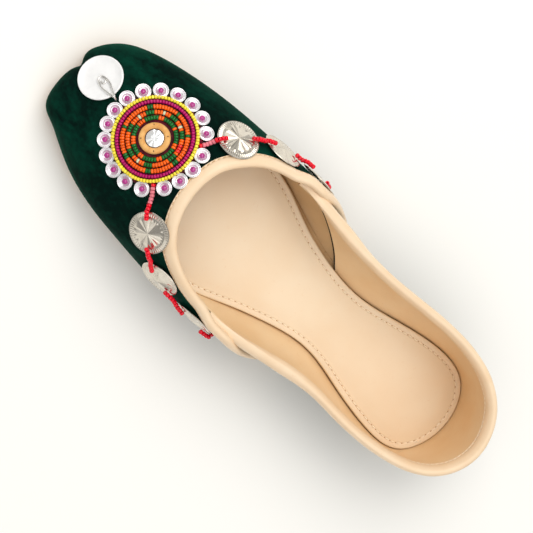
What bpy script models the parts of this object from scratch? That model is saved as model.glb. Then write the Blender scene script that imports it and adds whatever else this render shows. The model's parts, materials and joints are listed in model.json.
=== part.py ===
"""Right shoe of a pair of mojari: a flat slip-on with a velvet vamp and a beaded medallion.

Frame: X across, Y along with the toe at -Y, Z up, metres. A right shoe seen from
above with its toe away from the viewer has its medial side on the +X side here.
Plan positions in the tables are millimetres: D is the distance back from the toe tip.
"""
import math

import bpy
import bmesh
import numpy as np
from mathutils import Matrix, Vector
from mathutils.bvhtree import BVHTree

MM = 0.001

# Driving sizes, in millimetres
SOLE = 4.6              # leather outsole
WALL = 1.9              # velvet, interlining and lining together
GAP = 0.3               # clearance between neighbouring pieces
RIM = 2.0               # radius of the rolled leather bindings
RIM_TAPER = 0.9         # radius of the topline binding where it is tucked in
INSOLE = 3.6            # padded insole
FEATHER = 0.5           # how far the outsole stands out from the upper
TOE_SPRING = 4.0        # lift of the sole under the toe
SPRING_FROM = 52.0      # D where the toe spring starts
ARCH_LIFT = 1.6         # lift of the sole under the waist
ARCH = (122.0, 200.0)   # D where that lift starts and ends
NOTCH_X = -4.0          # the notch in the toe: place, depth, half width, reach over the vamp
NOTCH_DEPTH = 3.0
NOTCH_HALF = 5.0
NOTCH_REACH = 17.0

# Sections of the last from toe to heel. foot: where the wall leaves the sole, medial and
# lateral. edge: where it ends at the throat and the topline, and how high that is.
# out, rise: the first handle of the wall, which makes its belly. lean, drop: the last one.
SECTIONS = [
    #  name        foot_d foot_m foot_l  edge_d edge_m edge_l edge_z  out  rise  lean  drop
    ("toe",           3.9,  -4.0,  -4.0,   67.1,   0.6,   0.6,  48.0, 1.5, 12.0, 38.0, 23.0),
    ("lobe",          5.7,  14.7, -13.0,   68.3,   9.7,  -8.8,  47.7, 1.5, 12.0, 36.0, 22.5),
    ("corner",       15.0,  21.4, -23.2,   71.6,  17.6, -15.7,  46.6, 1.5, 12.5, 30.0, 21.0),
    ("fore",         34.0,  30.2, -29.6,   77.8,  25.3, -22.6,  44.6, 2.2, 13.0, 21.0, 18.0),
    ("joint",        58.0,  34.9, -32.9,   87.2,  30.8, -28.9,  42.2, 3.2, 13.0, 11.0, 15.0),
    ("ball",         84.0,  37.2, -34.0,  100.4,  34.6, -32.8,  40.2, 4.2, 13.0,  6.0, 13.0),
    ("wing",        109.0,  35.4, -31.8,  115.0,  36.0, -33.9,  38.9, 6.0, 12.0,  3.5, 12.0),
    ("shank",       138.0,  26.3, -23.6,  136.0,  35.2, -32.2,  38.3, 7.5, 11.0,  2.0, 12.0),
    ("waist",       168.0,  18.7, -19.2,  166.0,  30.4, -31.6,  39.4, 6.5, 10.5,  0.5, 13.0),
    ("seat",        194.0,  21.8, -23.6,  194.0,  30.6, -34.0,  42.0, 4.5, 10.0,  0.0, 14.0),
    ("heel_side",   221.0,  26.0, -28.7,  220.0,  28.4, -33.1,  45.0, 2.5, 10.0, -0.5, 15.0),
    ("heel_turn",   242.6,  21.4, -23.3,  241.8,  19.0, -22.6,  47.5, 1.4, 10.0, -0.8, 15.0),
    ("heel",        251.6,  -1.2,  -1.2,  251.0,  -1.2,  -1.2,  48.7, 1.0, 10.0, -1.0, 15.0),
]
LENGTH = 252.0          # toe tip to the back of the topline binding
HALF_TURN = len(SECTIONS) - 1
TURN = 2 * HALF_TURN

# Where the vamp's edge leaves the throat line and where it reaches the sole, and the same
# for the quarter's front edge, which lies inside it; counted in sections from the toe.
VAMP_FALL = {"medial": (6.6, 7.85), "lateral": (5.85, 7.55)}
QUARTER_FRONT = {"medial": (4.9, 5.95), "lateral": (5.3, 7.6)}
TOPLINE_START = {"medial": 6.35, "lateral": 5.6}
WING_FLARE = 2.2        # how far the vamp's edge stands off where the two bindings run abreast
VAMP_COLUMNS = 53       # facets of the two walls; their bindings share them, so they nest
QUARTER_COLUMNS = 43
TIP = 0.09              # share of the wall left at a wing's end


def closed_spline(knots, at):
    """Periodic cubic spline through the rows of knots at 0, 1, 2 ... with smooth curvature."""
    count = len(knots)
    ring = 4.0 * np.eye(count) + np.roll(np.eye(count), 1, axis=1) + np.roll(np.eye(count), -1, axis=1)
    slopes = np.linalg.solve(ring, 3.0 * (np.roll(knots, -1, axis=0) - np.roll(knots, 1, axis=0)))
    low = np.floor(at).astype(int)
    t = (at - low)[..., None]
    a, b = knots[low % count], knots[(low + 1) % count]
    da, db = slopes[low % count], slopes[(low + 1) % count]
    return ((2 * t**3 - 3 * t**2 + 1) * a + (t**3 - 2 * t**2 + t) * da
            + (3 * t**2 - 2 * t**3) * b + (t**3 - t**2) * db)


def ring_rows():
    """One row for each meridian round the shoe: toe, medial side, heel, lateral side."""
    medial = [(m[2], m[1], m[5], m[4], m[7], m[8], m[9], m[10], m[11]) for m in SECTIONS]
    lateral = [(m[3], m[1], m[6], m[4], m[7], m[8], m[9], m[10], m[11]) for m in SECTIONS]
    return np.array(medial + lateral[-2:0:-1], float)


ROWS = ring_rows()


def smooth(t):
    """Ease from 0 to 1, held flat outside."""
    t = np.clip(t, 0.0, 1.0)
    return t * t * (3.0 - 2.0 * t)


def side_value(u, pair):
    """Value of a medial and lateral pair at ring place u, which is negative on the lateral side."""
    return np.where(wrap(u) >= 0.0, pair["medial"], pair["lateral"])


def wrap(u):
    """Ring place as sections from the toe, positive on the medial side, negative on the lateral."""
    return (np.asarray(u, float) + HALF_TURN) % TURN - HALF_TURN


def plan_normal(knots, u):
    """Outward normal in plan of a closed ring of knots at u."""
    step = 1e-3
    run = closed_spline(knots, u + step) - closed_spline(knots, u - step)
    out = np.stack([run[..., 1], -run[..., 0]], axis=-1)
    return out / np.linalg.norm(out, axis=-1, keepdims=True)


def base_point(u, b):
    """Last surface: a cubic Bezier from the sole at b = 0 to the edge at b = 1 along meridian u."""
    row = closed_spline(ROWS, u)
    foot, edge = row[..., 0:2], row[..., 2:4]
    height, out, rise, lean, drop = (row[..., k] for k in range(4, 9))
    foot_out = plan_normal(ROWS[:, 0:2], u)
    edge_out = plan_normal(ROWS[:, 2:4], u)
    floor = np.full_like(height, SOLE + GAP)
    p0 = np.concatenate([foot, floor[..., None]], axis=-1)
    p1 = np.concatenate([foot + foot_out * out[..., None], (floor + rise)[..., None]], axis=-1)
    p2 = np.concatenate([edge + edge_out * lean[..., None], (height - drop)[..., None]], axis=-1)
    p3 = np.concatenate([edge, height[..., None]], axis=-1)
    t = np.asarray(b, float)[..., None]
    return (1 - t)**3 * p0 + 3 * t * (1 - t)**2 * p1 + 3 * t**2 * (1 - t) * p2 + t**3 * p3


def base_frame(u, b):
    """Point of the last surface and its outward unit normal, level at the sole."""
    step = 1e-3
    u, b = np.broadcast_arrays(np.asarray(u, float), np.asarray(b, float))
    along = base_point(u + step, b) - base_point(u - step, b)
    up = base_point(u, b + step) - base_point(u, b - step)
    normal = np.cross(along, up)
    normal[..., 2] *= smooth(b / 0.2)
    normal /= np.linalg.norm(normal, axis=-1, keepdims=True)
    return base_point(u, b), normal


def stand(points):
    """Cut the toe notch and bend the shoe to its toe spring and arch. Works on (x, D, z)."""
    p = np.array(points, float)
    reach = 1.0 - smooth((p[..., 1] - 3.0) / NOTCH_REACH)
    across = np.abs(p[..., 0] - NOTCH_X) / NOTCH_HALF
    groove = np.exp(-np.sqrt(across**2 + 0.06) * 1.6) * 1.48
    p[..., 1] += NOTCH_DEPTH * groove * reach
    spring = np.clip((SPRING_FROM - p[..., 1]) / SPRING_FROM, 0.0, 1.2)
    arch = np.clip((p[..., 1] - ARCH[0]) / (ARCH[1] - ARCH[0]), 0.0, 1.0)
    p[..., 2] += TOE_SPRING * spring**2 + ARCH_LIFT * np.sin(np.pi * arch)**2
    return p


def world(points):
    """Millimetres in (x, D, z) to metres in the shoe's frame."""
    p = np.array(points, float)
    p[..., 1] -= LENGTH / 2
    return p * MM


def vamp_edge(u):
    """Share of the meridian that the vamp covers: 1 round the throat, falling to its wing tips."""
    place = np.abs(wrap(u))
    start = side_value(u, {side: VAMP_FALL[side][0] for side in VAMP_FALL})
    end = side_value(u, {side: VAMP_FALL[side][1] for side in VAMP_FALL})
    t = np.clip((place - start) / (end - start), 0.0, 1.0)
    return 1.0 - (1.0 - TIP) * (0.35 * t**2 * (3 - 2 * t) + 0.65 * t**1.5)


def quarter_front(u):
    """Share of the meridian where the quarter starts: 0 behind its front edge, rising to its tip."""
    place = np.abs(wrap(u))
    start = side_value(u, {side: QUARTER_FRONT[side][0] for side in QUARTER_FRONT})
    end = side_value(u, {side: QUARTER_FRONT[side][1] for side in QUARTER_FRONT})
    t = np.clip((place - start) / (end - start), 0.0, 1.0)
    return (1.0 - TIP) * (1.0 - t**1.7)


def wing_flare(u, share):
    """Extra outward offset of the vamp where its binding passes the quarter, near its edge."""
    place = np.abs(wrap(u))
    start = side_value(u, TOPLINE_START)
    ramp = smooth((place - start + 0.75) / 0.75)
    return WING_FLARE * ramp * np.asarray(share)**2


def vamp_point(u, share, depth):
    """Vamp wall: share 0 at the sole, 1 at its edge; depth 0 on the lining, 1 on the velvet."""
    point, normal = base_frame(u, share * vamp_edge(u))
    offset = GAP + depth * WALL + wing_flare(u, share)
    return stand(point + normal * offset[..., None])


def quarter_point(u, share, depth):
    """Quarter wall: share 0 at its lower edge, 1 at the topline; depth 1 on the outside."""
    front = quarter_front(u)
    point, normal = base_frame(u, front + share * (1.0 - front))
    offset = (depth - 1.0) * WALL
    return stand(point + normal * np.asarray(offset)[..., None])


def vamp_range():
    """First and last ring place of the vamp."""
    return -VAMP_FALL["lateral"][1], VAMP_FALL["medial"][1]


def quarter_range():
    """First and last ring place of the quarter, going round by the heel."""
    return QUARTER_FRONT["medial"][0], TURN - QUARTER_FRONT["lateral"][0]


def outline(margin, inset, columns):
    """Closed outline of the foot ring, moved out by margin, which varies round it, less inset."""
    u = np.linspace(0.0, TURN, columns, endpoint=False)
    out = plan_normal(ROWS[:, 0:2], u) * (margin(u) - inset)[:, None]
    return closed_spline(ROWS[:, 0:2], u) + out


# Decoration. Places on the vamp are given by ring place (sections from the toe, lateral
# negative) and drop, the distance down from the vamp's edge along its surface.
MEDALLION = (-2.0, 44.5)        # centre: x and D
FELT_RADIUS = 18.9              # felt roundel under the beads
FELT = 1.0
BEAD_RINGS = [
    #  name                radius  width  height
    ("bead_ring_yellow",     18.1,  1.5,   1.5),
    ("bead_ring_magenta",    16.2,  1.5,   1.4),
    ("bead_ring_outer",      13.9,  1.9,   1.4),
    ("bead_ring_middle",     11.5,  1.9,   1.4),
    ("bead_ring_inner",       9.1,  1.9,   1.4),
    ("mirror_frame",          5.6,  2.6,   2.0),
]
MIRROR_RADIUS = 3.9
MIRROR = 1.0
BEZEL_RADIUS = 3.2
BEZEL_RING = 22.5
BEZEL_ARCS = [                  # degrees from, to, how many
    (138.6, 257.2, 7),
    (276.2, 346.8, 5),
    (366.0, 388.0, 2),
    (54.2, 111.6, 4),
]
COIN_RADIUS = 10.2
COIN = 0.8
COIN_HOLE = 1.1
COIN_ANGLE = 266.7              # hinge, in degrees round the medallion; 270 points at the toe
COIN_SWAY = -9.0                # how far the coin hangs round from the way out of the medallion
COIN_ARM = 11.5                 # hinge axis to coin centre
AXIS_REACH = 24.3               # medallion centre to the hinge axis
WIRE = 0.35                     # radius of the silver wire
LOOP_HALF = 1.25                # half width of the wire loop at its hinge
DISC_RADIUS = 9.6
DISC = 0.7
DISC_DISH = 1.1                 # height of the fluted cone
FLUTES = 14
FLUTE_CREST = 0.35              # height of a flute's crest and valley at the border
FLUTE_VALLEY = -0.1
STRAND_RADIUS = 1.0
BEAD_PITCH = 1.8
CHAINS = {
    #          start angle, discs as (ring place, drop), end of the last strand
    "medial":  (41.1, [(2.68, 7.6), (4.55, 10.8), (6.05, 9.8)], (6.85, 6.5)),
    "lateral": (123.8, [(-2.70, 7.9), (-4.52, 9.6), (-5.90, 9.8)], (-6.60, 6.0)),
}


def make_material(name, colour, roughness, metallic=0.0):
    """Principled material with the three values that set it."""
    material = bpy.data.materials.new(name)
    material.use_nodes = True
    shader = material.node_tree.nodes["Principled BSDF"]
    shader.inputs["Base Color"].default_value = (*colour, 1.0)
    shader.inputs["Roughness"].default_value = roughness
    shader.inputs["Metallic"].default_value = metallic
    material.diffuse_color = (*colour, 1.0)
    return material


def make_object(name, vertices, faces, material, sharp=40.0):
    """Closed mesh object from points in (x, D, z) millimetres, its faces turned outwards."""
    mesh = bpy.data.meshes.new(name)
    mesh.from_pydata([tuple(v) for v in world(vertices)], [], faces)
    work = bmesh.new()
    work.from_mesh(mesh)
    bmesh.ops.recalc_face_normals(work, faces=work.faces)
    work.to_mesh(mesh)
    work.free()
    mesh.shade_smooth()
    mesh.set_sharp_from_angle(angle=math.radians(sharp))
    mesh.materials.append(material)
    made = bpy.data.objects.new(name, mesh)
    bpy.context.scene.collection.objects.link(made)
    return made


def grid_faces(rows, columns, start=0, closed=False):
    """Quads of a rows by columns grid of vertices; closed joins the last column to the first."""
    faces = []
    for i in range(rows - 1):
        for j in range(columns if closed else columns - 1):
            k = (j + 1) % columns
            a, b = start + i * columns + j, start + i * columns + k
            faces.append((a, b, b + columns, a + columns))
    return faces


def shell(outer, inner):
    """Vertices and faces of a wall between two grids of the same size, closed round its border."""
    rows, columns = outer.shape[:2]
    size = rows * columns
    vertices = np.concatenate([outer.reshape(-1, 3), inner.reshape(-1, 3)])
    faces = grid_faces(rows, columns) + [f[::-1] for f in grid_faces(rows, columns, size)]
    border = [j for j in range(columns)]
    border += [i * columns + columns - 1 for i in range(1, rows)]
    border += [(rows - 1) * columns + j for j in range(columns - 2, -1, -1)]
    border += [i * columns for i in range(rows - 2, 0, -1)]
    for a, b in zip(border, border[1:] + border[:1]):
        faces.append((b, a, a + size, b + size))
    return vertices, faces


def rod(sections):
    """Vertices and faces of a tube through sections, an array of closed rings, with flat ends."""
    count, sides = sections.shape[:2]
    faces = grid_faces(count, sides, closed=True)
    faces.append(tuple(range(sides)))
    faces.append(tuple(range((count - 1) * sides, count * sides)))
    return sections.reshape(-1, 3), faces


def ladder(start, count):
    """Strip of faces that fills a closed outline of an even count by joining side to side."""
    half = count // 2
    faces = [(start, start + 1, start + count - 1)]
    for i in range(1, half - 1):
        faces.append((start + i, start + i + 1, start + count - i - 1, start + count - i))
    faces.append((start + half - 1, start + half, start + half + 1))
    return faces


def slab(rings):
    """Vertices and faces of a closed slab from a stack of outlines, filled at both ends."""
    stack = np.stack(rings)
    count = stack.shape[1]
    faces = grid_faces(len(rings), count, closed=True)
    faces += ladder(0, count) + ladder((len(rings) - 1) * count, count)
    return stack.reshape(-1, 3), faces


def sole_rings(margin, levels, columns):
    """Outlines of a sole or insole: each level is (inset from the outline, height)."""
    rings = []
    for inset, height in levels:
        plain = outline(margin, inset, columns)
        flat = np.concatenate([plain, np.full((columns, 1), height)], axis=-1)
        rings.append(stand(flat))
    return rings


def outsole_margin(u):
    """Outsole edge out from the foot ring: clear of the vamp in front, of the quarter behind."""
    behind = smooth((np.abs(wrap(u)) - 6.9) / 1.1)
    return FEATHER + (WALL + GAP) * (1.0 - behind)


def insole_margin(u):
    """Insole edge in from the foot ring: one wall and one gap."""
    return np.full_like(u, -(WALL + GAP))


def make_sole(materials):
    """Leather outsole with a soft lower edge, and the padded insole that lies on it."""
    levels = [(9.0, 0.0), (1.0, 0.0), (0.0, 0.9), (0.0, SOLE), (9.0, SOLE)]
    make_object("outsole", *slab(sole_rings(outsole_margin, levels, 64)), materials["sole_leather"])
    low, high = SOLE + GAP, SOLE + GAP + INSOLE
    levels = [(8.0, low), (0.0, low), (0.0, high - 0.9), (1.3, high), (8.0, high)]
    make_object("insole", *slab(sole_rings(insole_margin, levels, 64)), materials["lining_leather"])


def wall_grid(point, start, end, columns, rows):
    """Grid of a wall function over its ring range at depth 1 and depth 0."""
    u, share = np.meshgrid(np.linspace(start, end, columns), np.linspace(0.0, 1.0, rows))
    return point(u, share, 1.0), point(u, share, 0.0)


def make_upper(materials):
    """The vamp with its wings, and the quarter that lies inside them."""
    outer, inner = wall_grid(vamp_point, *vamp_range(), VAMP_COLUMNS, 9)
    make_object("vamp", *shell(outer, inner), materials["velvet"])
    outer, inner = wall_grid(quarter_point, *quarter_range(), QUARTER_COLUMNS, 7)
    make_object("quarter", *shell(outer, inner), materials["velvet_quarter"])


def edge_frame(point, u):
    """Middle of a wall's edge at u, the direction out of the edge, and the wall's outward side."""
    step = 2e-3
    middle = point(u, np.ones_like(u), 0.5)
    along = point(u + step, np.ones_like(u), 0.5) - point(u - step, np.ones_like(u), 0.5)
    along /= np.linalg.norm(along, axis=-1, keepdims=True)
    out = point(u, np.ones_like(u), 1.0) - point(u, np.ones_like(u), 0.0)
    out -= along * np.sum(out * along, axis=-1, keepdims=True)
    out /= np.linalg.norm(out, axis=-1, keepdims=True)
    up = np.cross(out, along)
    return middle, up, out


def binding_sections(point, u, radius, sides):
    """Rings of a round binding that sits on a wall's edge, one gap above it."""
    middle, up, out = edge_frame(point, u)
    centre = middle + up * (radius + GAP)[:, None]
    turn = np.linspace(0.0, 2.0 * np.pi, sides, endpoint=False)
    ring = (np.cos(turn)[None, :, None] * up[:, None, :] + np.sin(turn)[None, :, None] * out[:, None, :])
    return centre[:, None, :] + ring * radius[:, None, None]


def throat_sections():
    """Rings of the binding along the throat and down both wings."""
    u = np.linspace(*vamp_range(), VAMP_COLUMNS)
    return binding_sections(vamp_point, u, np.full_like(u, RIM), 8)


def make_bindings(materials):
    """Rolled leather bindings along the throat with its wings, and along the topline."""
    make_object("throat_binding", *rod(throat_sections()), materials["binding_leather"])
    start, end = TOPLINE_START["medial"], TURN - TOPLINE_START["lateral"]
    u = np.linspace(*quarter_range(), QUARTER_COLUMNS)
    u = u[(u >= start) & (u <= end)]
    taper = smooth(np.minimum(u - start, end - u) / 0.6)
    radius = RIM_TAPER + (RIM - RIM_TAPER) * taper
    sections = binding_sections(quarter_point, u, radius, 8)
    make_object("topline_binding", *rod(sections), materials["binding_leather"])


class VampSurface:
    """The vamp's velvet face and its binding as a fine mesh that pieces can be set down on."""

    def __init__(self):
        u, share = np.meshgrid(np.linspace(-7.0, 7.2, 320), np.linspace(0.0, 1.0, 90))
        velvet = vamp_point(u, share, 1.0)
        faces = grid_faces(*velvet.shape[:2])
        binding = throat_sections()
        faces += grid_faces(*binding.shape[:2], start=velvet.shape[0] * velvet.shape[1], closed=True)
        points = np.concatenate([velvet.reshape(-1, 3), binding.reshape(-1, 3)])
        self.tree = BVHTree.FromPolygons([Vector(p) for p in points], faces)

    def below(self, point, normal):
        """Surface point met when looking from well above a point back along its normal."""
        start = Vector(point) + Vector(normal) * 14.0
        hit = self.tree.ray_cast(start, -Vector(normal), 30.0)[0]
        return None if hit is None else np.array(hit)

    def facing(self, point, normal, spread):
        """Seat at a point: where it meets the surface and the mean normal over the spread."""
        side, other = cross_axes(normal)
        middle = self.below(point, normal)
        rim = []
        for step in (side * spread, -side * spread, other * spread, -other * spread):
            met = self.below(point + step, normal)
            rim.append(middle + step if met is None else met)
        mean = np.cross(rim[0] - rim[1], rim[2] - rim[3])
        mean /= np.linalg.norm(mean)
        return middle, mean * np.sign(np.dot(mean, normal))

    def rest(self, centre, normal, points):
        """Height along normal at which a rigid piece with these underside points just clears."""
        need = -1e9
        for local in points:
            hit = self.below(centre + local, normal)
            if hit is not None:
                need = max(need, float(np.dot(hit - centre - local, normal)))
        return need + GAP


def cross_axes(normal):
    """Two unit axes square to a normal; the first runs across the shoe."""
    normal = np.asarray(normal, float)
    side = np.cross((0.0, 1.0, 0.0), normal)
    if np.linalg.norm(side) < 0.2:
        side = np.array((0.0, 0.0, 1.0))
    side /= np.linalg.norm(side)
    return side, np.cross(normal, side)


def turned(profile, sides, centre, side, other, normal, wave=None):
    """Vertices and faces of a body turned round normal; profile is a closed (radius, height) loop.

    A first or last radius of zero closes the body with a point.
    """
    vertices, faces, rings = [], [], []
    for radius, height in profile:
        if radius == 0.0:
            rings.append([len(vertices)])
            vertices.append(centre + normal * height)
            continue
        rings.append(list(range(len(vertices), len(vertices) + sides)))
        for k in range(sides):
            angle = 2.0 * math.pi * k / sides
            lift = wave(radius, k) if wave else 0.0
            spoke = side * math.cos(angle) + other * math.sin(angle)
            vertices.append(centre + spoke * radius + normal * (height + lift))
    pairs = list(zip(rings, rings[1:]))
    if len(rings[0]) > 1:
        pairs.append((rings[-1], rings[0]))
    for low, high in pairs:
        for k in range(sides):
            n = (k + 1) % sides
            if len(low) == 1:
                faces.append((low[0], high[n], high[k]))
            elif len(high) == 1:
                faces.append((low[k], low[n], high[0]))
            else:
                faces.append((low[k], low[n], high[n], high[k]))
    return np.array(vertices), faces


class Medallion:
    """Polar places over the vamp round the medallion's centre, looked at along one normal."""

    def __init__(self, surface):
        self.surface = surface
        above = surface.below(np.array((*MEDALLION, 40.0)), (0.0, 0.0, 1.0))
        centre, self.normal = surface.facing(above, np.array((0.0, -0.45, 0.89)), 12.0)
        self.centre = centre
        self.side, self.other = cross_axes(self.normal)

    def place(self, radius, degrees):
        """Point at a polar place in the plane through the centre."""
        angle = math.radians(degrees)
        return self.centre + radius * (self.side * math.cos(angle) + self.other * math.sin(angle))

    def on_surface(self, radius, degrees, height):
        """Point at a height above the vamp at a polar place."""
        return self.surface.below(self.place(radius, degrees), self.normal) + self.normal * height

    def draped(self, profile, sides):
        """A body turned round the centre whose every point keeps its height above the vamp."""
        flat, faces = turned([(r, 0.0) for r, _ in profile], sides, np.zeros(3),
                             np.array((1.0, 0, 0)), np.array((0, 1.0, 0)), np.array((0, 0, 1.0)))
        heights, vertices = [], []
        for radius, height in profile:
            heights += [height] * (1 if radius == 0.0 else sides)
        for point, height in zip(flat, heights):
            spot = self.centre + self.side * point[0] + self.other * point[1]
            vertices.append(self.surface.below(spot, self.normal) + self.normal * height)
        return np.array(vertices), faces


def make_medallion(medallion, materials):
    """Felt roundel, rings of beads, the bound ring with its mirror, and the bezels round it."""
    top = GAP + FELT
    felt = [(0.0, GAP), (10.0, GAP), (FELT_RADIUS, GAP), (FELT_RADIUS, top), (10.0, top), (0.0, top)]
    make_object("medallion_felt", *medallion.draped(felt, 30), materials["felt"])
    low = top + GAP
    for name, radius, width, height in BEAD_RINGS:
        half = width / 2
        ring = [(radius - half, low + height * 0.45), (radius, low),
                (radius + half, low + height * 0.45), (radius, low + height)]
        if name == "mirror_frame":
            ring = [(radius - half, low), (radius + half, low),
                    (radius + half * 0.7, low + height), (radius - half * 0.7, low + height)]
        finish = name if name in materials else "beads_orange"
        make_object(name, *medallion.draped(ring, 36), materials[finish])
    mirror = [(0.0, low), (MIRROR_RADIUS, low), (MIRROR_RADIUS, low + MIRROR), (0.0, low + MIRROR)]
    make_object("mirror", *medallion.draped(mirror, 24), materials["mirror_glass"])
    number = 0
    for start, end, count in BEZEL_ARCS:
        for k in range(count):
            number += 1
            make_bezel(medallion, start + (end - start) * k / (count - 1), number, materials)


def make_bezel(medallion, degrees, number, materials):
    """One silvered cup with a raised rim and a domed bead in the middle, flat on the vamp."""
    spot = medallion.on_surface(BEZEL_RING, degrees, 0.0)
    centre, normal = medallion.surface.facing(spot, medallion.normal, 2.4)
    side, other = cross_axes(normal)
    r = BEZEL_RADIUS
    under = [side * r * math.cos(a) + other * r * math.sin(a) for a in np.linspace(0, 2 * math.pi, 9)]
    lift = medallion.surface.rest(centre, normal, under + [np.zeros(3)])
    profile = [(0.0, 0.0), (r, 0.0), (r, 0.9), (r * 0.62, 0.45), (r * 0.34, 0.6), (0.0, 1.5)]
    body = turned(profile, 12, centre + normal * lift, side, other, normal)
    make_object(f"bezel_{number:02d}", *body, materials["bezel_silver"])


def edge_drop(u, drop):
    """Point on the velvet at a distance down from the vamp's edge along its meridian."""
    share = np.linspace(1.0, 0.0, 80)
    line = vamp_point(np.full_like(share, u), share, 1.0)
    run = np.concatenate([[0.0], np.cumsum(np.linalg.norm(np.diff(line, axis=0), axis=1))])
    return np.array([np.interp(drop, run, line[:, k]) for k in range(3)])


def velvet_normal(u, drop):
    """Outward normal of the velvet at a ring place and drop."""
    across = edge_drop(u + 0.02, drop) - edge_drop(u - 0.02, drop)
    down = edge_drop(u, drop + 0.4) - edge_drop(u, drop - 0.4)
    normal = np.cross(down, across)
    return normal / np.linalg.norm(normal)


def flute(radius, k):
    """Lift of the disc's sheet at a radius: up on every second spoke, level at the border."""
    if radius >= DISC_RADIUS:
        return 0.0
    return (FLUTE_CREST if k % 2 else FLUTE_VALLEY) * radius / DISC_RADIUS


def make_disc(surface, u, drop, name, materials):
    """Thin fluted cone of sheet silver, resting on the velvet and on the binding beside it."""
    centre = edge_drop(u, drop)
    normal = velvet_normal(u, drop)
    centre, normal = surface.facing(centre, normal, DISC_RADIUS * 0.95)
    side, other = cross_axes(normal)
    low = [(0.0, DISC_DISH), (DISC_RADIUS * 0.8, DISC_DISH * 0.2), (DISC_RADIUS, 0.0)]
    high = [(r, h + DISC) for r, h in reversed(low)]
    under = [side * r * math.cos(a) + other * r * math.sin(a) + normal * h
             for r, h in low for a in np.linspace(0, 2 * math.pi, 17)]
    lift = surface.rest(centre, normal, under)
    body = turned(low + high, 2 * FLUTES, centre + normal * (lift + 0.1), side, other, normal, flute)
    make_object(name, *body, materials["disc_silver"])
    return centre


def strand_path(surface, ends, clear):
    """Evenly spaced centres of the beads between two places, short of both by the clearances."""
    (u0, d0), (u1, d1) = ends
    t = np.linspace(0.0, 1.0, 41)
    line = np.array([edge_drop(u0 + (u1 - u0) * k, d0 + (d1 - d0) * k) for k in t])
    start = np.linalg.norm(line - line[0], axis=1)
    finish = np.linalg.norm(line - line[-1], axis=1)
    keep = np.flatnonzero((start >= clear[0]) & (finish >= clear[1]))
    return [(u0 + (u1 - u0) * t[k], d0 + (d1 - d0) * t[k]) for k in keep]


def make_strand(places, name, materials):
    """A string of seed beads: a tube over the velvet that swells at each bead."""
    lift = STRAND_RADIUS + GAP + 0.15
    centres = np.array([edge_drop(u, d) + velvet_normal(u, d) * lift for u, d in places])
    run = np.concatenate([[0.0], np.cumsum(np.linalg.norm(np.diff(centres, axis=0), axis=1))])
    beads = max(1, round(run[-1] / BEAD_PITCH))
    at = np.linspace(0.0, run[-1], 2 * beads + 1)
    line = np.stack([np.interp(at, run, centres[:, k]) for k in range(3)], axis=-1)
    along = np.gradient(line, axis=0)
    along /= np.linalg.norm(along, axis=1, keepdims=True)
    lift = np.array([velvet_normal(*places[int(round(a / run[-1] * (len(places) - 1)))]) for a in at])
    side = np.cross(along, lift)
    side /= np.linalg.norm(side, axis=1, keepdims=True)
    up = np.cross(side, along)
    turn = np.linspace(0.0, 2.0 * np.pi, 5, endpoint=False)
    ring = np.cos(turn)[None, :, None] * up[:, None, :] + np.sin(turn)[None, :, None] * side[:, None, :]
    radius = np.where(np.arange(len(at)) % 2, STRAND_RADIUS, STRAND_RADIUS * 0.62)
    make_object(name, *rod(line[:, None, :] + ring * radius[:, None, None]), materials["beads_red"])


def nearest_place(point, side):
    """Ring place and drop of the velvet point nearest to a point, on one side of the shoe."""
    sign = 1.0 if side == "medial" else -1.0
    u, share = np.meshgrid(np.linspace(0.3, 4.0, 75) * sign, np.linspace(0.1, 1.0, 91))
    grid = vamp_point(u, share, 1.0)
    row, column = np.unravel_index(np.argmin(np.linalg.norm(grid - point, axis=-1)), u.shape)
    line = grid[row:, column]
    return u[row, column], float(np.sum(np.linalg.norm(np.diff(line, axis=0), axis=1)))


def make_chains(surface, medallion, materials):
    """Three fluted discs a side, strung on red beads from the medallion along the throat."""
    for side, (angle, discs, last) in CHAINS.items():
        for number, (u, drop) in enumerate(discs, 1):
            make_disc(surface, u, drop, f"disc_{side}_{number}", materials)
        first = nearest_place(medallion.on_surface(FELT_RADIUS + 0.6, angle, 0.0), side)
        stops = [first] + discs + [last]
        for number, ends in enumerate(zip(stops, stops[1:]), 1):
            past = DISC_RADIUS + GAP
            clear = (0.6 if number == 1 else past, 0.0 if number == 4 else past)
            places = strand_path(surface, ends, clear)
            make_strand(places, f"strand_{side}_{number}", materials)


def wire(points, sides, closed):
    """Vertices and faces of a round wire through points, square to its own run."""
    line = np.array(points, float)
    if closed:
        along = np.roll(line, -1, axis=0) - np.roll(line, 1, axis=0)
    else:
        along = np.gradient(line, axis=0)
    along /= np.linalg.norm(along, axis=1, keepdims=True)
    flat = np.cross(line[len(line) // 3] - line[0], line[2 * len(line) // 3] - line[0])
    flat /= np.linalg.norm(flat)
    side = np.cross(along, flat)
    side /= np.linalg.norm(side, axis=1, keepdims=True)
    over = np.cross(side, along)
    turn = np.linspace(0.0, 2.0 * np.pi, sides, endpoint=False)
    ring = np.cos(turn)[None, :, None] * side[:, None, :] + np.sin(turn)[None, :, None] * over[:, None, :]
    sections = line[:, None, :] + ring * WIRE
    if not closed:
        return rod(sections)
    count = len(line)
    vertices = sections.reshape(-1, 3)
    faces = grid_faces(count, sides, closed=True)
    for j in range(sides):
        k = (j + 1) % sides
        last = (count - 1) * sides
        faces.append((last + j, last + k, k, j))
    return vertices, faces


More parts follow.
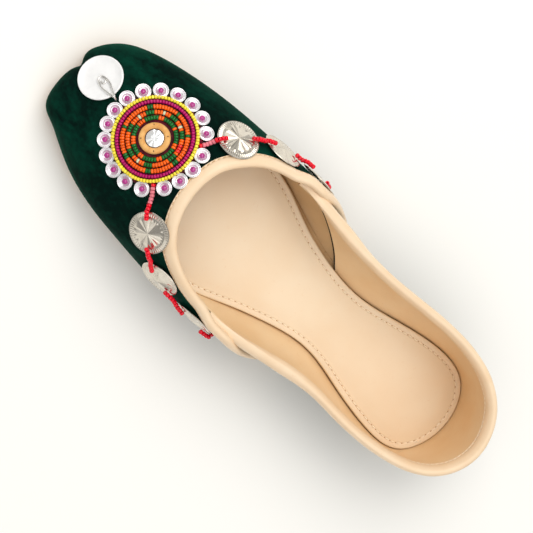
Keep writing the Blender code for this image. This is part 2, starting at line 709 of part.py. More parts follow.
def make_coin(surface, medallion, materials):
    """Plain silver coin on a wire loop, which turns in an eye at the medallion's edge."""
    hinge = medallion.place(AXIS_REACH, COIN_ANGLE)
    toward = medallion.place(1.0, COIN_ANGLE + COIN_SWAY) - medallion.centre
    centre, normal = surface.facing(hinge + toward * COIN_ARM, medallion.normal, 6.5)
    forward = toward - normal * np.dot(toward, normal)
    forward /= np.linalg.norm(forward)
    across = np.cross(normal, forward)
    centre = centre + forward * (COIN_ARM - np.dot(centre - hinge, toward)) / np.dot(forward, toward)
    r = COIN_RADIUS
    under = [forward * k * math.cos(a) + across * k * math.sin(a)
             for k in (r, r * 0.6) for a in np.linspace(0, 2 * math.pi, 25)]
    centre = centre + normal * surface.rest(centre, normal, under)
    profile = [(COIN_HOLE, 0.0), (r, 0.0), (r, COIN), (COIN_HOLE, COIN)]
    make_object("coin", *turned(profile, 32, centre, forward, across, normal), materials["coin_silver"])
    height = COIN + WIRE + GAP
    loop = []
    for k in range(24):
        angle = 2.0 * math.pi * k / 24
        x = -COIN_ARM * 0.5 + math.cos(angle) * COIN_ARM * 0.5
        half = LOOP_HALF * (1.0 + 0.45 * smooth(1.0 + x / COIN_ARM))
        y = math.copysign(abs(math.sin(angle))**0.62, math.sin(angle)) * half
        loop.append(centre + forward * x + across * y + normal * height)
    make_object("coin_loop", *wire(loop, 5, True), materials["wire_silver"])
    axis = centre - forward * COIN_ARM + normal * height
    eye = []
    rise = WIRE * 2.0 + GAP
    for k in range(9):
        angle = math.pi * k / 8
        eye.append(axis - forward * rise * math.cos(angle) + normal * rise * math.sin(angle))
    for end, place in ((0, -1), (1, 1)):
        foot = surface.below(eye[0 if end == 0 else -1], normal) + normal * (GAP + 0.05)
        eye = [foot] + eye if end == 0 else eye + [foot]
    make_object("coin_eye", *wire(eye, 5, False), materials["wire_silver"])
    return world(axis), -across


def make_materials():
    """Colours, roughness and metal of every finish."""
    finishes = {
        "velvet": ((0.004, 0.035, 0.022), 0.85, 0.0),
        "velvet_quarter": ((0.004, 0.035, 0.022), 0.85, 0.0),
        "lining_leather": ((0.80, 0.57, 0.35), 0.5, 0.0),
        "binding_leather": ((0.84, 0.62, 0.40), 0.42, 0.0),
        "sole_leather": ((0.62, 0.38, 0.19), 0.6, 0.0),
        "felt": ((0.16, 0.005, 0.02), 0.95, 0.0),
        "bead_ring_yellow": ((0.90, 0.72, 0.03), 0.2, 0.0),
        "bead_ring_magenta": ((0.35, 0.005, 0.11), 0.2, 0.0),
        "beads_orange": ((0.95, 0.13, 0.01), 0.2, 0.0),
        "mirror_frame": ((0.75, 0.40, 0.13), 0.6, 0.0),
        "mirror_glass": ((0.75, 0.78, 0.80), 0.05, 1.0),
        "bezel_silver": ((0.90, 0.89, 0.91), 0.25, 0.9),
        "coin_silver": ((0.93, 0.93, 0.93), 0.35, 0.8),
        "wire_silver": ((0.82, 0.80, 0.77), 0.25, 1.0),
        "disc_silver": ((0.62, 0.59, 0.53), 0.3, 1.0),
        "beads_red": ((0.85, 0.005, 0.02), 0.2, 0.0),
    }
    return {name: make_material(name, *values) for name, values in finishes.items()}


def stand_on_origin():
    """Move everything so that the origin is at the bottom centre of the whole shoe's box."""
    corners = np.array([v.co for made in bpy.data.objects for v in made.data.vertices])
    low, high = corners.min(axis=0), corners.max(axis=0)
    middle = Vector(((low[0] + high[0]) / 2, (low[1] + high[1]) / 2, low[2]))
    for made in bpy.data.objects:
        made.data.transform(Matrix.Translation(-middle))
    return middle


def clear_scene():
    """Start from an empty scene."""
    for old in list(bpy.data.objects):
        bpy.data.objects.remove(old, do_unlink=True)


def main():
    """Build every piece of the shoe."""
    clear_scene()
    materials = make_materials()
    make_sole(materials)
    make_upper(materials)
    make_bindings(materials)
    surface = VampSurface()
    medallion = Medallion(surface)
    make_medallion(medallion, materials)
    make_chains(surface, medallion, materials)
    hinge, turn = make_coin(surface, medallion, materials)
    middle = stand_on_origin()
    print("coin hinge at", (np.array(hinge) - np.array(middle)).round(5).tolist())
    print("coin hinge axis", turn.round(5).tolist())
    print("moved by", np.array(middle).round(6).tolist())


main()
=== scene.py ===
"""Looks of a velvet mojari: nap, lining, stitched bindings, seed beads and stamped silver.

Shapes are worked out in millimetres as (x, D, z), where D is the distance back from the
toe tip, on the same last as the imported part, and put in its frame in metres at the end.
"""
import json
import math

import bmesh
import bpy
import numpy as np
from mathutils import Matrix, Vector
from mathutils.bvhtree import BVHTree

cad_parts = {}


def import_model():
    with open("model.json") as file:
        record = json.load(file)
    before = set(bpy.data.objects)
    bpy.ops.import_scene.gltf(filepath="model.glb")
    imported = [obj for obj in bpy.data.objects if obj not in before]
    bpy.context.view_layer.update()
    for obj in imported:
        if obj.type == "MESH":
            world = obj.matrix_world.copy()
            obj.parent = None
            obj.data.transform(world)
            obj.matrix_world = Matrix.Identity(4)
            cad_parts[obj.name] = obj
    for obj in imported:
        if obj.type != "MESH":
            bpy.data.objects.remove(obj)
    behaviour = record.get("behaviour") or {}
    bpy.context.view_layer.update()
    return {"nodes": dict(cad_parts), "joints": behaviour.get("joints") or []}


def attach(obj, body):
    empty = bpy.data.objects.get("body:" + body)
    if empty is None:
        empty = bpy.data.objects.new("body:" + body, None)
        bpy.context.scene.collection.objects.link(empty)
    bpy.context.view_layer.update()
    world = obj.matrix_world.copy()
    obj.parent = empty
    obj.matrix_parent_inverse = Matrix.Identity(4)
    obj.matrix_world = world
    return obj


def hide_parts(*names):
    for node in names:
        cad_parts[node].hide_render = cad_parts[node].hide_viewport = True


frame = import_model()

MM = 0.001
TAU = 2.0 * math.pi

# The last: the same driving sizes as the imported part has
SOLE = 4.6
WALL = 1.9
GAP = 0.3
INSOLE = 3.6
TOE_SPRING = 4.0
SPRING_FROM = 52.0
ARCH_LIFT = 1.6
ARCH = (122.0, 200.0)
NOTCH_X = -4.0
NOTCH_DEPTH = 3.0
NOTCH_HALF = 5.0
NOTCH_REACH = 17.0
SECTIONS = [
    #  name        foot_d foot_m foot_l  edge_d edge_m edge_l edge_z  out  rise  lean  drop
    ("toe",           3.9,  -4.0,  -4.0,   67.1,   0.6,   0.6,  48.0, 1.5, 12.0, 38.0, 23.0),
    ("lobe",          5.7,  14.7, -13.0,   68.3,   9.7,  -8.8,  47.7, 1.5, 12.0, 36.0, 22.5),
    ("corner",       15.0,  21.4, -23.2,   71.6,  17.6, -15.7,  46.6, 1.5, 12.5, 30.0, 21.0),
    ("fore",         34.0,  30.2, -29.6,   77.8,  25.3, -22.6,  44.6, 2.2, 13.0, 21.0, 18.0),
    ("joint",        58.0,  34.9, -32.9,   87.2,  30.8, -28.9,  42.2, 3.2, 13.0, 11.0, 15.0),
    ("ball",         84.0,  37.2, -34.0,  100.4,  34.6, -32.8,  40.2, 4.2, 13.0,  6.0, 13.0),
    ("wing",        109.0,  35.4, -31.8,  115.0,  36.0, -33.9,  38.9, 6.0, 12.0,  3.5, 12.0),
    ("shank",       138.0,  26.3, -23.6,  136.0,  35.2, -32.2,  38.3, 7.5, 11.0,  2.0, 12.0),
    ("waist",       168.0,  18.7, -19.2,  166.0,  30.4, -31.6,  39.4, 6.5, 10.5,  0.5, 13.0),
    ("seat",        194.0,  21.8, -23.6,  194.0,  30.6, -34.0,  42.0, 4.5, 10.0,  0.0, 14.0),
    ("heel_side",   221.0,  26.0, -28.7,  220.0,  28.4, -33.1,  45.0, 2.5, 10.0, -0.5, 15.0),
    ("heel_turn",   242.6,  21.4, -23.3,  241.8,  19.0, -22.6,  47.5, 1.4, 10.0, -0.8, 15.0),
    ("heel",        251.6,  -1.2,  -1.2,  251.0,  -1.2,  -1.2,  48.7, 1.0, 10.0, -1.0, 15.0),
]
LENGTH = 252.0
SHIFT = (1.043, 0.952)       # how far the part was moved to stand over its origin
HALF_TURN = len(SECTIONS) - 1
TURN = 2 * HALF_TURN
VAMP_FALL = {"medial": (6.6, 7.85), "lateral": (5.85, 7.55)}
QUARTER_FRONT = {"medial": (4.9, 5.95), "lateral": (5.3, 7.6)}
TOPLINE_START = {"medial": 6.35, "lateral": 5.6}
WING_FLARE = 2.2
TIP = 0.09

# The beadwork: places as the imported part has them, but for the end of the last lateral
# strand, which is led lower down the side
MEDALLION = (-2.0, 44.5)
FELT_RADIUS = 18.9
FELT = 1.0
MIRROR_RADIUS = 3.9
DISC_RADIUS = 9.6
COIN_RADIUS = 10.2
COIN_ARM = 11.5
LAST_PLACE = {"medial": (6.85, 6.5), "lateral": (-6.60, 11.0)}
FIRST_ANGLE = {"medial": 41.1, "lateral": 123.8}

# Colours of the beads, linear
YELLOW = (1.0, 0.81, 0.055)
MAGENTA = (0.50, 0.0005, 0.135)
ORANGE = (1.0, 0.13, 0.002)
GREEN = (0.001, 0.145, 0.018)
PALE = (0.62, 0.68, 0.45)
RED = (0.86, 0.002, 0.022)
CLEAR_PINK = (0.85, 0.22, 0.27)


def closed_spline(knots, at):
    """Periodic cubic spline through the rows of knots at 0, 1, 2 ...: the slopes solve the
    ring of equations that makes its curvature run on, and Hermite weights join them."""
    count = len(knots)
    ring = 4.0 * np.eye(count) + np.roll(np.eye(count), 1, axis=1) + np.roll(np.eye(count), -1, axis=1)
    slopes = np.linalg.solve(ring, 3.0 * (np.roll(knots, -1, axis=0) - np.roll(knots, 1, axis=0)))
    low = np.floor(at).astype(int)
    t = (at - low)[..., None]
    a, b = knots[low % count], knots[(low + 1) % count]
    da, db = slopes[low % count], slopes[(low + 1) % count]
    return ((2 * t**3 - 3 * t**2 + 1) * a + (t**3 - 2 * t**2 + t) * da
            + (3 * t**2 - 2 * t**3) * b + (t**3 - t**2) * db)


def ring_rows():
    """One row for each meridian round the shoe: toe, medial side, heel, lateral side."""
    medial = [(m[2], m[1], m[5], m[4], m[7], m[8], m[9], m[10], m[11]) for m in SECTIONS]
    lateral = [(m[3], m[1], m[6], m[4], m[7], m[8], m[9], m[10], m[11]) for m in SECTIONS]
    return np.array(medial + lateral[-2:0:-1], float)


ROWS = ring_rows()


def smooth(t):
    """Ease from 0 to 1, 3t^2 - 2t^3, held flat outside."""
    t = np.clip(t, 0.0, 1.0)
    return t * t * (3.0 - 2.0 * t)


def unit(v):
    """Vectors divided by their length."""
    return v / np.linalg.norm(v, axis=-1, keepdims=True)


def distances(path):
    """Distance along a path at each of its points."""
    return np.concatenate([[0.0], np.cumsum(np.linalg.norm(np.diff(path, axis=0), axis=1))])


def wrap(u):
    """Ring place as sections from the toe, positive medially and negative laterally."""
    return (np.asarray(u, float) + HALF_TURN) % TURN - HALF_TURN


def side_value(u, pair):
    """The medial or the lateral value of a pair, by the sign of the ring place."""
    return np.where(wrap(u) >= 0.0, pair["medial"], pair["lateral"])


def side_span(u, pairs):
    """The start and end of a medial and lateral pair of spans at ring place u."""
    return tuple(side_value(u, {side: pairs[side][k] for side in pairs}) for k in (0, 1))


def plan_normal(knots, u):
    """Outward normal in plan of a closed ring: its run turned by a right angle."""
    step = 1e-3
    run = closed_spline(knots, u + step) - closed_spline(knots, u - step)
    return unit(np.stack([run[..., 1], -run[..., 0]], axis=-1))


def base_point(u, b):
    """Last surface: a cubic Bezier along meridian u from the sole, b = 0, to the edge, b = 1."""
    row = closed_spline(ROWS, u)
    foot, edge = row[..., 0:2], row[..., 2:4]
    height, out, rise, lean, drop = (row[..., k] for k in range(4, 9))
    foot_out = plan_normal(ROWS[:, 0:2], u)
    edge_out = plan_normal(ROWS[:, 2:4], u)
    floor = np.full_like(height, SOLE + GAP)
    p0 = np.concatenate([foot, floor[..., None]], axis=-1)
    p1 = np.concatenate([foot + foot_out * out[..., None], (floor + rise)[..., None]], axis=-1)
    p2 = np.concatenate([edge + edge_out * lean[..., None], (height - drop)[..., None]], axis=-1)
    p3 = np.concatenate([edge, height[..., None]], axis=-1)
    t = np.asarray(b, float)[..., None]
    return (1 - t)**3 * p0 + 3 * t * (1 - t)**2 * p1 + 3 * t**2 * (1 - t) * p2 + t**3 * p3


def base_frame(u, b):
    """Point of the last and its outward unit normal: the cross product of its two runs, laid
    level low down, so that the walls stand on the sole."""
    step = 1e-3
    u, b = np.broadcast_arrays(np.asarray(u, float), np.asarray(b, float))
    along = base_point(u + step, b) - base_point(u - step, b)
    up = base_point(u, b + step) - base_point(u, b - step)
    normal = np.cross(along, up)
    normal[..., 2] *= smooth(b / 0.2)
    return base_point(u, b), unit(normal)


def stand(points):
    """The toe notch, a rounded groove that fades over the vamp, then the toe spring, which
    grows as a square, and the lift under the waist, a squared sine."""
    p = np.array(points, float)
    reach = 1.0 - smooth((p[..., 1] - 3.0) / NOTCH_REACH)
    across = np.abs(p[..., 0] - NOTCH_X) / NOTCH_HALF
    groove = np.exp(-np.sqrt(across**2 + 0.06) * 1.6) * 1.48
    p[..., 1] += NOTCH_DEPTH * groove * reach
    spring = np.clip((SPRING_FROM - p[..., 1]) / SPRING_FROM, 0.0, 1.2)
    arch = np.clip((p[..., 1] - ARCH[0]) / (ARCH[1] - ARCH[0]), 0.0, 1.0)
    p[..., 2] += TOE_SPRING * spring**2 + ARCH_LIFT * np.sin(np.pi * arch)**2
    return p


def vamp_edge(u):
    """Share of the meridian that the vamp covers: 1 round the throat, eased down its wings."""
    start, end = side_span(u, VAMP_FALL)
    t = np.clip((np.abs(wrap(u)) - start) / (end - start), 0.0, 1.0)
    return 1.0 - (1.0 - TIP) * (0.35 * t**2 * (3 - 2 * t) + 0.65 * t**1.5)


def quarter_front(u):
    """Share of the meridian where the quarter starts: one less a power up its front edge."""
    start, end = side_span(u, QUARTER_FRONT)
    t = np.clip((np.abs(wrap(u)) - start) / (end - start), 0.0, 1.0)
    return (1.0 - TIP) * (1.0 - t**1.7)


def wing_flare(u, share):
    """Outward offset of the vamp near its edge, eased in where its binding passes the quarter."""
    ramp = smooth((np.abs(wrap(u)) - side_value(u, TOPLINE_START) + 0.75) / 0.75)
    return WING_FLARE * ramp * np.asarray(share)**2


def vamp_point(u, share, depth):
    """Vamp wall: the last moved out along its normal; depth 0 is the lining, 1 the velvet."""
    point, normal = base_frame(u, share * vamp_edge(u))
    offset = GAP + depth * WALL + wing_flare(u, share)
    return stand(point + normal * offset[..., None])


def quarter_point(u, share, depth):
    """Quarter wall: the last moved in along its normal, depth 1 outside."""
    front = quarter_front(u)
    point, normal = base_frame(u, front + share * (1.0 - front))
    offset = (depth - 1.0) * WALL
    return stand(point + normal * np.asarray(offset)[..., None])


VAMP_RANGE = (-VAMP_FALL["lateral"][1], VAMP_FALL["medial"][1])
QUARTER_RANGE = (QUARTER_FRONT["medial"][0], TURN - QUARTER_FRONT["lateral"][0])


def edge_frame(point, u):
    """Middle of a wall's edge, the way up out of it, and the wall's outward side."""
    step = 2e-3
    one = np.ones_like(u)
    middle = point(u, one, 0.5)
    along = unit(point(u + step, one, 0.5) - point(u - step, one, 0.5))
    out = point(u, one, 1.0) - point(u, one, 0.0)
    out = unit(out - along * np.sum(out * along, axis=-1, keepdims=True))
    return middle, np.cross(out, along), out, along


def world(points):
    """Millimetres in (x, D, z) to metres in the part's frame."""
    p = np.array(points, float)
    p[..., 0] -= SHIFT[0]
    p[..., 1] -= LENGTH / 2 + SHIFT[1]
    return p * MM


def from_world(points):
    """Metres in the part's frame to millimetres in (x, D, z)."""
    p = np.array(points, float) / MM
    p[..., 0] += SHIFT[0]
    p[..., 1] += LENGTH / 2 + SHIFT[1]
    return p


def grid_quads(rows, columns, loop_rows=False, loop_columns=False):
    """Quads of a grid of vertices, row by row; a looped way joins its last to its first."""
    i, j = np.meshgrid(np.arange(rows - (not loop_rows)), np.arange(columns - (not loop_columns)),
                       indexing="ij")
    n, k = (i + 1) % rows, (j + 1) % columns
    quads = np.stack([i * columns + j, i * columns + k, n * columns + k, n * columns + j], axis=-1)
    return quads.reshape(-1, 4)


def many(points, quads, centres, bases):
    """Copies of a small body: each copy's points are the local ones times its three axes,
    the rows of its basis, plus its centre."""
    count, size = len(centres), len(points)
    placed = np.einsum("pk,nkc->npc", points, bases) + centres[:, None, :]
    faces = quads[None] + (np.arange(count) * size)[:, None, None]
    return placed.reshape(-1, 3), faces.reshape(-1, 4)


def shell(outer, inner):
    """Points and quads of a wall between two grids: both faces, and a strip round the border."""
    rows, columns = outer.shape[:2]
    size = rows * columns
    top = grid_quads(rows, columns)
    row, column = np.arange(rows), np.arange(columns)
    border = np.concatenate([column, row[1:] * columns + columns - 1,
                             (rows - 1) * columns + column[-2::-1], row[-2:0:-1] * columns])
    after = np.roll(border, -1)
    strip = np.stack([after, border, border + size, after + size], axis=-1)
    faces = np.concatenate([top, top[:, ::-1] + size, strip])
    return np.concatenate([outer.reshape(-1, 3), inner.reshape(-1, 3)]), faces


def piece(name, body, points, quads, material, slot, replaces=(), colours=None, sharp=None):
    """Mesh object in the part's frame: its poles are closed by merging what coincides, and
    its faces turned outwards. colours is one linear colour a point."""
    mesh = bpy.data.meshes.new(name)
    mesh.from_pydata(world(points), [], quads.tolist())
    if colours is not None:
        layer = mesh.attributes.new("tint", "FLOAT_COLOR", "POINT")
        layer.data.foreach_set("color", np.column_stack([colours, np.ones(len(colours))]).ravel())
    work = bmesh.new()
    work.from_mesh(mesh)
    bmesh.ops.remove_doubles(work, verts=work.verts, dist=2e-7)
    bmesh.ops.recalc_face_normals(work, faces=work.faces)
    work.to_mesh(mesh)
    work.free()
    mesh.shade_smooth()
    if sharp is not None:
        mesh.set_sharp_from_angle(angle=math.radians(sharp))
    mesh.materials.append(material)
    made = bpy.data.objects.new(name, mesh)
    bpy.context.scene.collection.objects.link(made)
    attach(made, body)
    if replaces:
        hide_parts(*replaces)
    return made


def feed(tree, plug, value):
    """Link a socket into an input, or set the input to a constant."""
    if isinstance(value, bpy.types.NodeSocket):
        tree.links.new(value, plug)
    else:
        plug.default_value = value


def node(tree, kind, settings=None, **values):
    """Shader node with its settings and the values of its inputs, named or numbered i0, i1."""
    made = tree.nodes.new(kind)
    for key, value in (settings or {}).items():
        setattr(made, key, value)
    for key, value in values.items():
        feed(tree, made.inputs[int(key[1:]) if key[1:].isdigit() else key.replace("_", " ")], value)
    return made


def effect(name, inputs, outputs):
    """Empty node group with named inputs, as name: (kind, value), and named outputs."""
    tree = bpy.data.node_groups.new(name, "ShaderNodeTree")
    for label, (kind, value) in inputs.items():
        plug = tree.interface.new_socket(label, in_out="INPUT", socket_type=f"NodeSocket{kind}")
        plug.default_value = value
    for label, kind in outputs.items():
        tree.interface.new_socket(label, in_out="OUTPUT", socket_type=f"NodeSocket{kind}")
    return tree, tree.nodes.new("NodeGroupInput"), tree.nodes.new("NodeGroupOutput")


def mix_colour(tree, factor, low, high, blend="MIX"):
    """Colour between low and high by a factor."""
    made = tree.nodes.new("ShaderNodeMix")
    made.data_type = "RGBA"
    made.blend_type = blend
    for number, value in ((0, factor), (6, low), (7, high)):
        feed(tree, made.inputs[number], value)
    return made.outputs[2]


def span(tree, value, low, high, to_low=0.0, to_high=1.0):
    """Value carried from low..high to to_low..to_high, held at the ends."""
    return node(tree, "ShaderNodeMapRange", i0=value, i1=low, i2=high, i3=to_low, i4=to_high).outputs[0]


def rgba(colour):
    """Linear colour with full alpha."""
    return (*colour, 1.0)


def grain_effect():
    """Leather: pebbles from a cell pattern, creases from stretched noise, and a slow change of
    tone between two colours where hands and hides have worn it."""
    tree, source, sink = effect(
        "leather_grain",
        {"Light": ("Color", (1, 1, 1, 1)), "Dark": ("Color", (0, 0, 0, 1)),
         "Pebble Scale": ("Float", 1600.0), "Tone Scale": ("Float", 45.0), "Roughness": ("Float", 0.45)},
        {"Color": "Color", "Roughness": "Float", "Height": "Float"})
    place = node(tree, "ShaderNodeTexCoord").outputs["Object"]
    tone = node(tree, "ShaderNodeTexNoise", Vector=place, Scale=source.outputs["Tone Scale"], Detail=5.0)
    pebble = node(tree, "ShaderNodeTexVoronoi", Vector=place, Scale=source.outputs["Pebble Scale"])
    fine = node(tree, "ShaderNodeTexNoise", Vector=place, Scale=source.outputs["Pebble Scale"], Detail=3.0)
    speck = node(tree, "ShaderNodeTexNoise", Vector=place, Scale=520.0, Detail=2.0)
    worn = span(tree, tone.outputs["Fac"], 0.32, 0.68)
    colour = mix_colour(tree, worn, source.outputs["Dark"], source.outputs["Light"])
    pore = span(tree, speck.outputs["Fac"], 0.66, 0.74)
    dark = mix_colour(tree, pore, colour, source.outputs["Dark"])
    height = node(tree, "ShaderNodeMath", {"operation": "MULTIPLY_ADD"}, i0=pebble.outputs["Distance"],
                  i1=0.6, i2=fine.outputs["Fac"])
    rough = node(tree, "ShaderNodeMath", {"operation": "MULTIPLY_ADD"}, i0=worn, i1=-0.12,
                 i2=source.outputs["Roughness"])
    tree.links.new(dark, sink.inputs["Color"])
    tree.links.new(rough.outputs[0], sink.inputs["Roughness"])
    tree.links.new(height.outputs[0], sink.inputs["Height"])
    return tree


def nap_effect():
    """Velvet: long soft streaks where the pile lies over, their lighter colour partly painted sheen, and
    the fine pile itself.
    """
    tree, source, sink = effect(
        "velvet_nap",
        {"Deep": ("Color", (0, 0, 0, 1)), "Lit": ("Color", (1, 1, 1, 1)),
         "Streak Scale": ("Float", 60.0), "Pile Scale": ("Float", 2600.0)},
        {"Color": "Color", "Height": "Float"})
    place = node(tree, "ShaderNodeTexCoord").outputs["Object"]
    turned = node(tree, "ShaderNodeMapping", Vector=place, Rotation=(0.0, 0.0, 0.5), Scale=(1.0, 0.42, 1.0))
    streak = node(tree, "ShaderNodeTexNoise", Vector=turned.outputs[0],
                  Scale=source.outputs["Streak Scale"], Detail=6.0, Roughness=0.62, Distortion=0.35)
    pile = node(tree, "ShaderNodeTexNoise", Vector=place, Scale=source.outputs["Pile Scale"], Detail=2.0)
    brushed = node(tree, "ShaderNodeTexNoise", Vector=place, Scale=420.0, Detail=3.0)
    # streaks towards the lit colour: partly the crushed pile, partly painted sheen
    lie = span(tree, streak.outputs["Fac"], 0.40, 0.72)
    tuft = span(tree, brushed.outputs["Fac"], 0.3, 0.75, -0.16, 0.16)
    both = node(tree, "ShaderNodeMath", {"operation": "ADD", "use_clamp": True}, i0=lie, i1=tuft)
    colour = mix_colour(tree, both.outputs[0], source.outputs["Deep"], source.outputs["Lit"])
    height = node(tree, "ShaderNodeMath", {"operation": "MULTIPLY_ADD"}, i0=brushed.outputs["Fac"],
                  i1=0.7, i2=pile.outputs["Fac"])
    tree.links.new(colour, sink.inputs["Color"])
    tree.links.new(height.outputs[0], sink.inputs["Height"])
    return tree


def wear_effect():
    """Metal: clouds of tarnish between a clean and a dull colour, and fine crossed scratches."""
    tree, source, sink = effect(
        "metal_wear",
        {"Clean": ("Color", (1, 1, 1, 1)), "Dull": ("Color", (0.5, 0.5, 0.5, 1)),
         "Cloud Scale": ("Float", 240.0), "Roughness": ("Float", 0.25)},
        {"Color": "Color", "Roughness": "Float", "Height": "Float"})
    place = node(tree, "ShaderNodeTexCoord").outputs["Object"]
    cloud = node(tree, "ShaderNodeTexNoise", Vector=place, Scale=source.outputs["Cloud Scale"], Detail=5.0)
    one = node(tree, "ShaderNodeMapping", Vector=place, Rotation=(0, 0, 0.7), Scale=(1.0, 14.0, 1.0))
    two = node(tree, "ShaderNodeMapping", Vector=place, Rotation=(0, 0, -0.5), Scale=(14.0, 1.0, 1.0))
    scratch = node(tree, "ShaderNodeTexNoise", Vector=one.outputs[0], Scale=420.0, Detail=3.0)
    cross = node(tree, "ShaderNodeTexNoise", Vector=two.outputs[0], Scale=420.0, Detail=3.0)
    dulled = span(tree, cloud.outputs["Fac"], 0.42, 0.70)
    colour = mix_colour(tree, dulled, source.outputs["Clean"], source.outputs["Dull"])
    lines = node(tree, "ShaderNodeMath", {"operation": "MINIMUM"}, i0=scratch.outputs["Fac"],
                 i1=cross.outputs["Fac"])
    rough = node(tree, "ShaderNodeMath", {"operation": "MULTIPLY_ADD"}, i0=dulled, i1=0.16,
                 i2=source.outputs["Roughness"])
    tree.links.new(colour, sink.inputs["Color"])
    tree.links.new(rough.outputs[0], sink.inputs["Roughness"])
    tree.links.new(lines.outputs[0], sink.inputs["Height"])
    return tree


def new_material(name, settings):
    """New material whose shader has these constants; returned with its tree and its shader."""
    material = bpy.data.materials.new(name)
    material.use_nodes = True
    shader = material.node_tree.nodes["Principled BSDF"]
    for key, value in settings.items():
        shader.inputs[key].default_value = value
    return material, material.node_tree, shader


def add_relief(tree, shader, strength, distance, height):
    """Fine relief on a shader from a height, its distance in metres."""
    relief = node(tree, "ShaderNodeBump", Strength=strength, Distance=distance, Height=height)
    tree.links.new(relief.outputs[0], shader.inputs["Normal"])


def finish(name, group, bump, settings, **plugs):
    """Material whose colour, roughness and fine relief come from an effect group. bump is its
    strength and its height in metres; settings are constants on the shader itself; plugs are
    the group's own values, its colours linear."""
    material, tree, shader = new_material(name, settings)
    made = tree.nodes.new("ShaderNodeGroup")
    made.node_tree = group
    for key, value in plugs.items():
        value = rgba(value) if isinstance(value, tuple) else value
        made.inputs[key.replace("_", " ")].default_value = value
    tree.links.new(made.outputs["Color"], shader.inputs["Base Color"])
    if "Roughness" in made.outputs:
        tree.links.new(made.outputs["Roughness"], shader.inputs["Roughness"])
    add_relief(tree, shader, *bump, made.outputs["Height"])
    return material


def glass_finish(name, roughness, coat):
    """Opaque seed-bead glass: the bead's own tint, a little uneven, under a clear coat."""
    material, tree, shader = new_material(name, {
        "Roughness": roughness, "Coat Weight": coat, "Coat Roughness": 0.04, "Specular IOR Level": 0.25})
    tint = node(tree, "ShaderNodeAttribute", {"attribute_name": "tint"})
    place = node(tree, "ShaderNodeTexCoord").outputs["Object"]
    cloud = node(tree, "ShaderNodeTexNoise", Vector=place, Scale=900.0, Detail=2.0)
    shade = span(tree, cloud.outputs["Fac"], 0.3, 0.7, 0.78, 1.12)
    colour = mix_colour(tree, 1.0, tint.outputs["Color"], shade, "MULTIPLY")
    tree.links.new(colour, shader.inputs["Base Color"])
    add_relief(tree, shader, 0.12, 0.00004, cloud.outputs["Fac"])
    return material


GRAIN, NAP, WEAR = grain_effect(), nap_effect(), wear_effect()
# Velvet green between a deep and a lit colour: partly the crushed pile, partly painted sheen
VELVET = finish("velvet", NAP, (0.5, 0.00012),
                {"Roughness": 0.85, "Sheen Weight": 0.11, "Sheen Roughness": 0.34,
                 "Sheen Tint": rgba((0.01, 0.60, 0.34)), "Specular IOR Level": 0.05},
                Deep=(0.0004, 0.0085, 0.006), Lit=(0.0008, 0.048, 0.028))
# Dark brown for the tube along the quarter's front edge: painted shade of the gap there
FRONT_EDGE_SHADE = finish("front_edge_painted_shade", NAP, (0.4, 0.00008), {"Roughness": 0.9},
                    Deep=(0.010, 0.007, 0.003), Lit=(0.030, 0.018, 0.008))
LINING = finish("lining_leather", GRAIN, (0.16, 0.00005), {"Specular IOR Level": 0.35},
                Light=(0.875, 0.665, 0.42), Dark=(0.835, 0.59, 0.335),
                Pebble_Scale=1500.0, Roughness=0.52)
# Lining leather darkened as painted shade for the cavity under the vamp's wings
SHADED_VAMP_LINING = finish("vamp_lining_painted_shade", GRAIN, (0.2, 0.00006), {"Specular IOR Level": 0.25},
                     Light=(0.72, 0.50, 0.28), Dark=(0.62, 0.41, 0.21),
                     Pebble_Scale=1200.0, Roughness=0.6)
INSOLE_LEATHER = finish("insole_leather", GRAIN, (0.14, 0.00005), {"Specular IOR Level": 0.35},
                        Light=(0.86, 0.715, 0.53), Dark=(0.84, 0.67, 0.475),
                        Pebble_Scale=1700.0, Roughness=0.5)
BINDING = finish("binding_leather", GRAIN, (0.12, 0.00004),
                 {"Specular IOR Level": 0.45, "Coat Weight": 0.10, "Coat Roughness": 0.25},
                 Light=(0.88, 0.68, 0.47), Dark=(0.85, 0.625, 0.405),
                 Pebble_Scale=1900.0, Tone_Scale=80.0, Roughness=0.42)
# Sole leather darkened as painted shade, so that its edge reads as a shadow line under the velvet
SHADED_SOLE_LEATHER = finish("sole_leather", GRAIN, (0.3, 0.0001), {"Specular IOR Level": 0.35},
                      Light=(0.62, 0.40, 0.20), Dark=(0.44, 0.25, 0.105),
                      Pebble_Scale=700.0, Tone_Scale=30.0, Roughness=0.62)
THREAD = finish("stitch_thread", GRAIN, (0.4, 0.00006), {"Sheen Weight": 0.2},
                Light=(0.98, 0.86, 0.68), Dark=(0.94, 0.78, 0.58),
                Pebble_Scale=2600.0, Roughness=0.7)
# Stitch thread darkened as painted shade of the groove that the throat band's stitches lie in
SHADED_THREAD = finish("thread_painted_shade", GRAIN, (0.3, 0.00005), {},
                Light=(0.72, 0.50, 0.29), Dark=(0.58, 0.37, 0.19), Roughness=0.7)
# Dark brown for dots where the needle holes are: painted shade of the holes
HOLE = finish("needle_hole_painted_shade", GRAIN, (0.1, 0.00004), {},
              Light=(0.52, 0.28, 0.10), Dark=(0.42, 0.20, 0.06), Roughness=0.8)
WOUND = finish("wound_thread", GRAIN, (0.3, 0.00005), {"Sheen Weight": 0.2, "Sheen Roughness": 0.4},
               Light=(0.86, 0.50, 0.17), Dark=(0.70, 0.33, 0.08),
               Pebble_Scale=3000.0, Tone_Scale=300.0, Roughness=0.62)
KNOT = finish("knot_thread", GRAIN, (0.3, 0.00005), {},
              Light=(0.20, 0.08, 0.02), Dark=(0.08, 0.03, 0.01), Roughness=0.7)
FELT_CLOTH = finish("felt", NAP, (0.7, 0.00015), {"Roughness": 0.95, "Sheen Weight": 0.1},
                    Deep=(0.040, 0.0010, 0.006), Lit=(0.20, 0.004, 0.026),
                    Streak_Scale=400.0)
